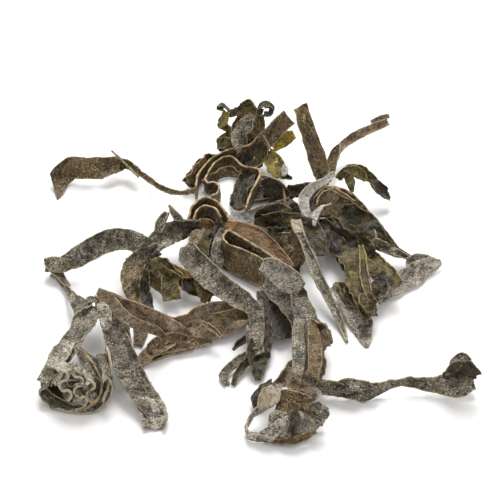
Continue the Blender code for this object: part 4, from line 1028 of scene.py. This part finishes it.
def facing_out(points, faces):
    """The same faces, turned round if the closed mesh would be inside out."""
    volume = 0.0
    for face in faces:
        a = points[face[0]]
        for b, c in zip(face[1:-1], face[2:]):
            volume += float(np.dot(a, np.cross(points[b], points[c])))
    return faces if volume > 0 else [tuple(face[::-1]) for face in faces]


def strap_mesh(piece, seed):
    """The strap's closed mesh, with the attributes that its tree and its material read."""
    rings, values, sheet_normals, columns = fine_shell(piece, seed)
    points = rings.reshape(-1, 3)
    faces = facing_out(points, shell_faces(len(rings), columns))
    mesh = bpy.data.meshes.new(piece["name"] + "_skin")
    mesh.from_pydata((points * MM).tolist(), [], faces)
    for name, numbers in values.items():
        layer = mesh.attributes.new(name, "FLOAT", "POINT")
        layer.data.foreach_set("value", numbers.reshape(-1).astype(np.float32))
    layer = mesh.attributes.new("sheet_normal", "FLOAT_VECTOR", "POINT")
    layer.data.foreach_set("vector", sheet_normals.reshape(-1).astype(np.float32))
    mesh.shade_smooth()
    return mesh


# Materials


class Shading:
    """A material's node tree, with short calls for the nodes that the looks below use."""

    def __init__(self, name):
        self.material = bpy.data.materials.new(name)
        self.material.use_nodes = True
        self.tree = self.material.node_tree
        self.shader = self.tree.nodes["Principled BSDF"]
        self.coordinates = self.tree.nodes.new("ShaderNodeTexCoord")

    def join(self, output, socket):
        self.tree.links.new(output, socket)

    def set(self, socket, value):
        if isinstance(value, bpy.types.NodeSocket):
            self.join(value, socket)
        else:
            socket.default_value = value

    def attribute(self, name, output="Fac"):
        node = self.tree.nodes.new("ShaderNodeAttribute")
        node.attribute_name = name
        return node.outputs[output]

    def moved(self, vector, shift):
        node = self.tree.nodes.new("ShaderNodeVectorMath")
        node.operation = "ADD"
        self.join(vector, node.inputs[0])
        node.inputs[1].default_value = shift
        return node.outputs[0]

    def noise(self, size_mm, detail=2.0, roughness=0.5, vector=None, offset=0.0):
        """Noise whose bumps are about size_mm across, in object space unless a vector in mm is given."""
        node = self.tree.nodes.new("ShaderNodeTexNoise")
        if vector is None:
            scale = 1 / (size_mm * MM)
            vector = self.coordinates.outputs["Object"]
        else:
            scale = 1 / size_mm
        self.join(self.moved(vector, (offset, offset * 0.7, offset * 0.3)), node.inputs["Vector"])
        node.inputs["Scale"].default_value = scale
        node.inputs["Detail"].default_value = detail
        node.inputs["Roughness"].default_value = roughness
        return node.outputs["Fac"]

    def ramp(self, value, low, high, start=0.0, end=1.0):
        """A smooth step from start, where the value is low, to end, where it is high."""
        node = self.tree.nodes.new("ShaderNodeMapRange")
        node.interpolation_type = "SMOOTHSTEP"
        self.join(value, node.inputs["Value"])
        node.inputs["From Min"].default_value = low
        node.inputs["From Max"].default_value = high
        node.inputs["To Min"].default_value = start
        node.inputs["To Max"].default_value = end
        return node.outputs["Result"]

    def math(self, operation, a, b=0.0):
        node = self.tree.nodes.new("ShaderNodeMath")
        node.operation = operation
        self.set(node.inputs[0], a)
        self.set(node.inputs[1], b)
        return node.outputs[0]

    def mix(self, share, first, second):
        """The first colour where the share is 0, and the second where it is 1."""
        node = self.tree.nodes.new("ShaderNodeMix")
        node.data_type = "RGBA"
        self.set(node.inputs[0], share)
        self.set(node.inputs[6], first if isinstance(first, bpy.types.NodeSocket) else (*first, 1.0))
        self.set(node.inputs[7], second if isinstance(second, bpy.types.NodeSocket) else (*second, 1.0))
        return node.outputs[2]

    def dots(self, size_mm, least, most, offset=0.0):
        """Crisp round dots of many sizes, one to each cell about size_mm across."""
        node = self.tree.nodes.new("ShaderNodeTexVoronoi")
        place = self.moved(self.coordinates.outputs["Object"], (offset, offset, offset))
        self.join(place, node.inputs["Vector"])
        node.inputs["Scale"].default_value = 1 / (size_mm * MM)
        split = self.tree.nodes.new("ShaderNodeSeparateColor")
        self.join(node.outputs["Color"], split.inputs[0])
        radius = self.math("ADD", self.math("MULTIPLY", split.outputs[0], most - least), least)
        return self.ramp(self.math("SUBTRACT", radius, node.outputs["Distance"]), 0.0, 0.10)

    def bump(self, height, distance_mm, strength, under=None):
        node = self.tree.nodes.new("ShaderNodeBump")
        self.join(height, node.inputs["Height"])
        node.inputs["Distance"].default_value = distance_mm * MM
        node.inputs["Strength"].default_value = strength
        if under is not None:
            self.join(under, node.inputs["Normal"])
        return node.outputs["Normal"]


def blade_material(name, look):
    """Dried kelp: a creased, streaked ground, salt on it, pale cut margins, painted shade in the crease
    valleys and a painted glow in thin places.
    """
    m = Shading(name)
    crease = m.attribute("crease")
    rim = m.attribute("rim")
    weave = m.attribute("weave", "Vector")

    streaks = m.noise(1.3, detail=4.0, roughness=0.7, vector=weave)
    blotches = m.noise(3.6, detail=4.0, roughness=0.7)
    broad = m.noise(13.0, detail=3.0, roughness=0.6, offset=0.71)
    ground = m.math("ADD", m.math("MULTIPLY", streaks, 0.4), m.math("MULTIPLY", blotches, 0.35))
    ground = m.math("ADD", ground, m.math("MULTIPLY", broad, 0.25))
    colour = m.mix(m.ramp(ground, 0.43, 0.55), look["dark"], look["middle"])

    # Painted light: in random thin places the colour turns to the glow of light shining through the sheet.
    painted_glow_mask = m.ramp(m.noise(6.0, detail=3.0, roughness=0.6, offset=0.31), 0.50, 0.62, 0.0, look["glow_share"])
    colour = m.mix(painted_glow_mask, colour, look["glow"])

    patches = m.noise(7.0, detail=5.0, roughness=0.72, offset=0.17)
    film = m.ramp(m.math("ADD", patches, (look["salt"] - 0.5) * 0.18), 0.46, 0.60)
    scrapes = m.noise(1.0, detail=3.0, roughness=0.7, vector=weave, offset=4.0)
    scraped = m.ramp(scrapes, 0.36, 0.56, 0.25, 0.95)
    colour = m.mix(m.math("MULTIPLY", film, scraped), colour, look["film"])

    # Painted shade: the colour darkens towards the dark ground in the valleys between the fine creases.
    painted_crease_shade = m.ramp(crease, 0.12, 0.45, 0.8, 0.0)
    colour = m.mix(painted_crease_shade, colour, look["dark"])
    pits = m.ramp(m.noise(1.2, detail=2.0, roughness=0.7, offset=0.43), 0.38, 0.45, 0.85, 0.0)
    colour = m.mix(pits, colour, look["dark"])

    grains = m.dots(0.8, -0.25 + 0.3 * look["salt"], 0.48, offset=0.05)
    dust = m.ramp(m.noise(0.7, detail=2.0, roughness=0.75, offset=0.05), 0.56, 0.62, 0.0, 0.8)
    held = m.math("ADD", m.math("MULTIPLY", film, 0.55), m.ramp(broad, 0.38, 0.60, 0.15, 0.5))
    held = m.math("MULTIPLY", held, look["grain"])
    salted = m.math("MULTIPLY", m.math("MAXIMUM", grains, dust), held)
    colour = m.mix(salted, colour, look["pale"])

    worn = m.ramp(m.noise(2.2, detail=3.0, offset=0.23), 0.38, 0.56)
    edge = m.math("MULTIPLY", m.ramp(rim, 0.1, 0.9), m.math("ADD", m.math("MULTIPLY", worn, 0.7), 0.25))
    colour = m.mix(edge, colour, look["rim"])

    wrinkles = m.noise(0.9, detail=4.0, roughness=0.65, vector=weave)
    grain = m.noise(0.4, detail=2.0, roughness=0.7)
    normal = m.bump(wrinkles, 0.8, 1.0)
    normal = m.bump(grain, 0.16, 0.8, under=normal)

    m.join(colour, m.shader.inputs["Base Color"])
    m.join(m.ramp(m.math("ADD", salted, film), 0.1, 1.2, 0.48, 0.9), m.shader.inputs["Roughness"])
    m.join(normal, m.shader.inputs["Normal"])
    m.shader.inputs["Specular IOR Level"].default_value = 0.4
    return m.material


def salt_material():
    """Small grains of dried salt."""
    m = Shading("salt_grains")
    colour = m.mix(m.noise(0.5, offset=0.6), (0.42, 0.39, 0.33), (0.78, 0.75, 0.68))
    m.join(colour, m.shader.inputs["Base Color"])
    m.shader.inputs["Roughness"].default_value = 0.7
    return m.material


# Geometry Nodes: the crinkled skin with its grains of salt


class Geometry:
    """A Geometry Nodes tree with named inputs, and short calls for its nodes."""

    def __init__(self, name):
        self.tree = bpy.data.node_groups.new(name, "GeometryNodeTree")
        self.face = self.tree.interface
        self.face.new_socket("Geometry", in_out="OUTPUT", socket_type="NodeSocketGeometry")
        self.identifiers = {}
        self.add_input("Geometry", "NodeSocketGeometry")

    def add_input(self, name, kind):
        socket = self.face.new_socket(name, in_out="INPUT", socket_type=kind)
        self.identifiers[name] = socket.identifier

    def begin(self):
        """Adds the nodes for the tree's own inputs and its result, once all of the inputs are named."""
        self.inputs = self.tree.nodes.new("NodeGroupInput")
        self.output = self.tree.nodes.new("NodeGroupOutput")

    def given(self, name):
        return self.inputs.outputs[name]

    def node(self, kind, settings=None, **sockets):
        """A new node. Each input is named, or is _ and its number, and gets a value or another's output."""
        made = self.tree.nodes.new(kind)
        for key, value in (settings or {}).items():
            setattr(made, key, value)
        for key, value in sockets.items():
            socket = made.inputs[int(key[1:]) if key[0] == "_" else key]
            if isinstance(value, bpy.types.NodeSocket):
                self.tree.links.new(value, socket)
            else:
                socket.default_value = value
        return made

    def math(self, operation, a, b=0.0):
        return self.node("ShaderNodeMath", {"operation": operation}, _0=a, _1=b).outputs[0]

    def scaled(self, vector, scale):
        return self.node("ShaderNodeVectorMath", {"operation": "SCALE"}, _0=vector, Scale=scale).outputs[0]

    def attribute(self, name, kind):
        return self.node("GeometryNodeInputNamedAttribute", {"data_type": kind}, Name=name).outputs[0]

    def stored(self, geometry, name, kind, value):
        settings = {"data_type": kind, "domain": "POINT"}
        return self.node("GeometryNodeStoreNamedAttribute", settings, Geometry=geometry, Name=name,
                         Value=value).outputs[0]

    def noise(self, vector, size):
        scale = self.math("DIVIDE", 1.0, size)
        made = self.node("ShaderNodeTexNoise", Vector=vector, Scale=scale, Detail=2.0, Roughness=0.5)
        return made.outputs[0]

    def span(self, value, low, high, start):
        """From start, where the value is low, to 1, where it is high."""
        return self.node("ShaderNodeMapRange", Value=value, _1=low, _2=high, _3=start, _4=1.0).outputs[0]


def skin_tree():
    """Creases a strap's skin in step on both sides, stores the crease depth that the material paints as
    shade, and strews salt grains over it.
    """
    seed_spacing = 31.7
    stretched = (0.28, 1.0, 1.0)
    sharpness = 6.0
    deepest, level, highest = -0.4, 0.3, 1.0
    patches_per_mm = 0.12
    smallest_grain, largest_grain = 0.45, 1.25

    g = Geometry("creased_salted_skin")
    for name in ("Crumple height", "Crumple size", "Crease height", "Crease size", "Crease turn"):
        g.add_input(name, "NodeSocketFloat")
    for name in ("Grain density", "Grain radius"):
        g.add_input(name, "NodeSocketFloat")
    g.add_input("Seed", "NodeSocketInt")
    g.add_input("Blade", "NodeSocketMaterial")
    g.add_input("Salt", "NodeSocketMaterial")
    g.begin()

    along = g.attribute("along", "FLOAT")
    across = g.attribute("across", "FLOAT")
    normal = g.attribute("sheet_normal", "FLOAT_VECTOR")
    far_apart = g.math("MULTIPLY", g.given("Seed"), seed_spacing)
    on_sheet = g.node("ShaderNodeCombineXYZ", X=along, Y=across, Z=far_apart).outputs[0]
    turned = g.node("ShaderNodeVectorRotate", {"rotation_type": "Z_AXIS"}, Vector=on_sheet,
                    Angle=g.given("Crease turn")).outputs[0]
    weave = g.node("ShaderNodeVectorMath", {"operation": "MULTIPLY"}, _0=turned, _1=stretched).outputs[0]

    broad = g.noise(on_sheet, g.given("Crumple size"))
    lines = g.noise(weave, g.given("Crease size"))
    off_crest = g.math("ABSOLUTE", g.math("SUBTRACT", lines, 0.5))
    crests = g.math("SUBTRACT", 1.0, g.math("MULTIPLY", off_crest, sharpness))
    crests = g.node("ShaderNodeClamp", Value=crests, Min=deepest, Max=highest).outputs[0]
    raised = g.math("MULTIPLY", g.math("SUBTRACT", crests, level), g.given("Crease height"))
    crumples = g.math("MULTIPLY", g.math("SUBTRACT", broad, 0.5), g.given("Crumple height"))
    raised = g.math("ADD", raised, crumples)
    shade = g.span(crests, deepest, highest, 0.0)
    offset = g.scaled(normal, raised)
    skin = g.node("GeometryNodeSetPosition", Geometry=g.given("Geometry"), Offset=offset).outputs[0]
    # The crease depth stored here darkens the crease valleys in the material: painted shade.
    skin = g.stored(skin, "crease", "FLOAT", shade)
    skin = g.stored(skin, "weave", "FLOAT_VECTOR", weave)
    skin = g.node("GeometryNodeSetMaterial", Geometry=skin, Material=g.given("Blade")).outputs[0]

    place_in_mm = g.scaled(g.node("GeometryNodeInputPosition").outputs[0], 1 / MM)
    patches = g.node("ShaderNodeTexNoise", Vector=place_in_mm, Scale=patches_per_mm, Detail=2.0).outputs[0]
    density = g.math("MULTIPLY", g.span(patches, 0.42, 0.68, 0.05), g.given("Grain density"))
    points = g.node("GeometryNodeDistributePointsOnFaces", Mesh=skin, Seed=g.given("Seed"), Density=density)
    grain = g.node("GeometryNodeMeshIcoSphere", Radius=g.given("Grain radius"), Subdivisions=1).outputs[0]
    size = g.node("FunctionNodeRandomValue", {"data_type": "FLOAT"}, _2=smallest_grain, _3=largest_grain,
                  Seed=g.given("Seed")).outputs[1]
    grains = g.node("GeometryNodeInstanceOnPoints", Points=points.outputs[0], Instance=grain, Scale=size,
                    Rotation=points.outputs["Rotation"]).outputs[0]
    grains = g.node("GeometryNodeRealizeInstances", Geometry=grains).outputs[0]
    grains = g.node("GeometryNodeSetMaterial", Geometry=grains, Material=g.given("Salt")).outputs[0]
    joined = g.tree.nodes.new("GeometryNodeJoinGeometry")
    g.tree.links.new(skin, joined.inputs[0])
    g.tree.links.new(grains, joined.inputs[0])
    g.tree.links.new(joined.outputs[0], g.output.inputs[0])
    return g


def crease_turn(piece, number):
    """A strap's own angle between its fine creases and its run, or the next in turn."""
    if piece["creases"] is None:
        return CREASE_TURNS[number % len(CREASE_TURNS)]
    return piece["creases"]


def skinned(piece, number, tree, materials):
    """The strap's finished object: a plain mesh with its modifier's result in it."""
    form = piece["form"]
    seed = FIRST_SEED + SEED_STEP * number
    rough = bpy.data.objects.new(piece["name"] + "_rough", strap_mesh(piece, seed))
    bpy.context.scene.collection.objects.link(rough)
    modifier = rough.modifiers.new("skin", "NODES")
    modifier.node_group = tree.tree
    settings = {
        "Crumple height": (0.5 + 1.2 * form["crumple"]) * MM,
        "Crumple size": CRUMPLE_SIZE,
        "Crease height": 0.55 * form["crease"] * MM,
        "Crease size": CREASE_SIZE,
        "Crease turn": radians(crease_turn(piece, number)),
        "Grain density": GRAINS_PER_SQUARE_MM / MM**2,
        "Grain radius": GRAIN_RADIUS * MM,
        "Seed": seed,
        "Blade": materials[id(piece["look"])],
        "Salt": materials["salt"],
    }
    for name, value in settings.items():
        modifier[tree.identifiers[name]] = value
    bpy.context.view_layer.update()
    ready = rough.evaluated_get(bpy.context.evaluated_depsgraph_get())
    mesh = bpy.data.meshes.new_from_object(ready)
    bpy.data.objects.remove(rough, do_unlink=True)
    places = np.empty(len(mesh.vertices) * 3, np.float32)
    mesh.vertices.foreach_get("co", places)
    places[2::3] = np.maximum(places[2::3], 0.0)
    mesh.vertices.foreach_set("co", places)
    mesh.update()
    made = bpy.data.objects.new(piece["name"] + "_skin", mesh)
    bpy.context.scene.collection.objects.link(made)
    return made


def build_straps():
    """Every strap and fold as an object of its own. The straps take the place of their solids."""
    tree = skin_tree()
    materials = {"salt": salt_material()}
    for name, look in LOOKS.items():
        materials[id(look)] = blade_material(name, look)
    for number, piece in enumerate(STRAPS + FOLDS):
        made = skinned(piece, number, tree, materials)
        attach(made, "root")
        if number < len(STRAPS):
            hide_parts(piece["name"])


# Camera, floor and light


def add_camera():
    """The camera of the photograph, in the view that the stations' columns and rows belong to."""
    _, _, eye = view_axes()
    camera = bpy.data.cameras.new("camera")
    camera.sensor_width = 36.0
    half_view = atan(PHOTO_MIDDLE * MM_PER_PIXEL / VIEW_DISTANCE)
    camera.angle = 2 * half_view
    camera.clip_start = 0.01
    camera.clip_end = 20.0
    made = bpy.data.objects.new("camera", camera)
    made.location = [float(value) * MM for value in eye]
    made.rotation_euler = (pi / 2 - VIEW_ELEVATION, 0.0, 0.0)
    bpy.context.scene.collection.objects.link(made)
    bpy.context.scene.camera = made


def add_floor():
    """A plain white table."""
    mesh = bpy.data.meshes.new("floor")
    reach = 6.0
    corners = [(-reach, -reach, 0), (reach, -reach, 0), (reach, reach, 0), (-reach, reach, 0)]
    mesh.from_pydata(corners, [], [(0, 1, 2, 3)])
    material = bpy.data.materials.new("white_table")
    material.use_nodes = True
    shader = material.node_tree.nodes["Principled BSDF"]
    shader.inputs["Base Color"].default_value = (0.93, 0.93, 0.93, 1.0)
    shader.inputs["Roughness"].default_value = 0.6
    shader.inputs["Specular IOR Level"].default_value = 0.2
    mesh.materials.append(material)
    floor = bpy.data.objects.new("floor", mesh)
    bpy.context.scene.collection.objects.link(floor)


def add_softbox(name, place_m, aim_m, size_m, watts):
    """A round soft light that faces the point it aims at."""
    light = bpy.data.lights.new(name, "AREA")
    light.shape = "DISK"
    light.size = size_m
    light.energy = watts
    made = bpy.data.objects.new(name, light)
    made.location = place_m
    way = np.array(aim_m) - np.array(place_m)
    heading = float(np.arctan2(way[1], way[0]))
    drop = float(np.arctan2(np.hypot(way[0], way[1]), -way[2]))
    made.rotation_euler = (drop, 0.0, heading - pi / 2)
    bpy.context.scene.collection.objects.link(made)


def add_light():
    """A bright, even white room with one soft light behind and above the frond."""
    world = bpy.data.worlds.new("white_room")
    world.use_nodes = True
    background = world.node_tree.nodes["Background"]
    background.inputs["Color"].default_value = (1.0, 0.985, 0.97, 1.0)
    background.inputs["Strength"].default_value = 0.75
    bpy.context.scene.world = world
    add_softbox("key", place_m=(0.05, 0.85, 0.9), aim_m=(0, 0, 0), size_m=0.7, watts=16.0)
    bpy.context.scene.view_settings.view_transform = "Standard"
    bpy.context.scene.view_settings.look = "None"


add_camera()
add_floor()
add_light()
build_straps()
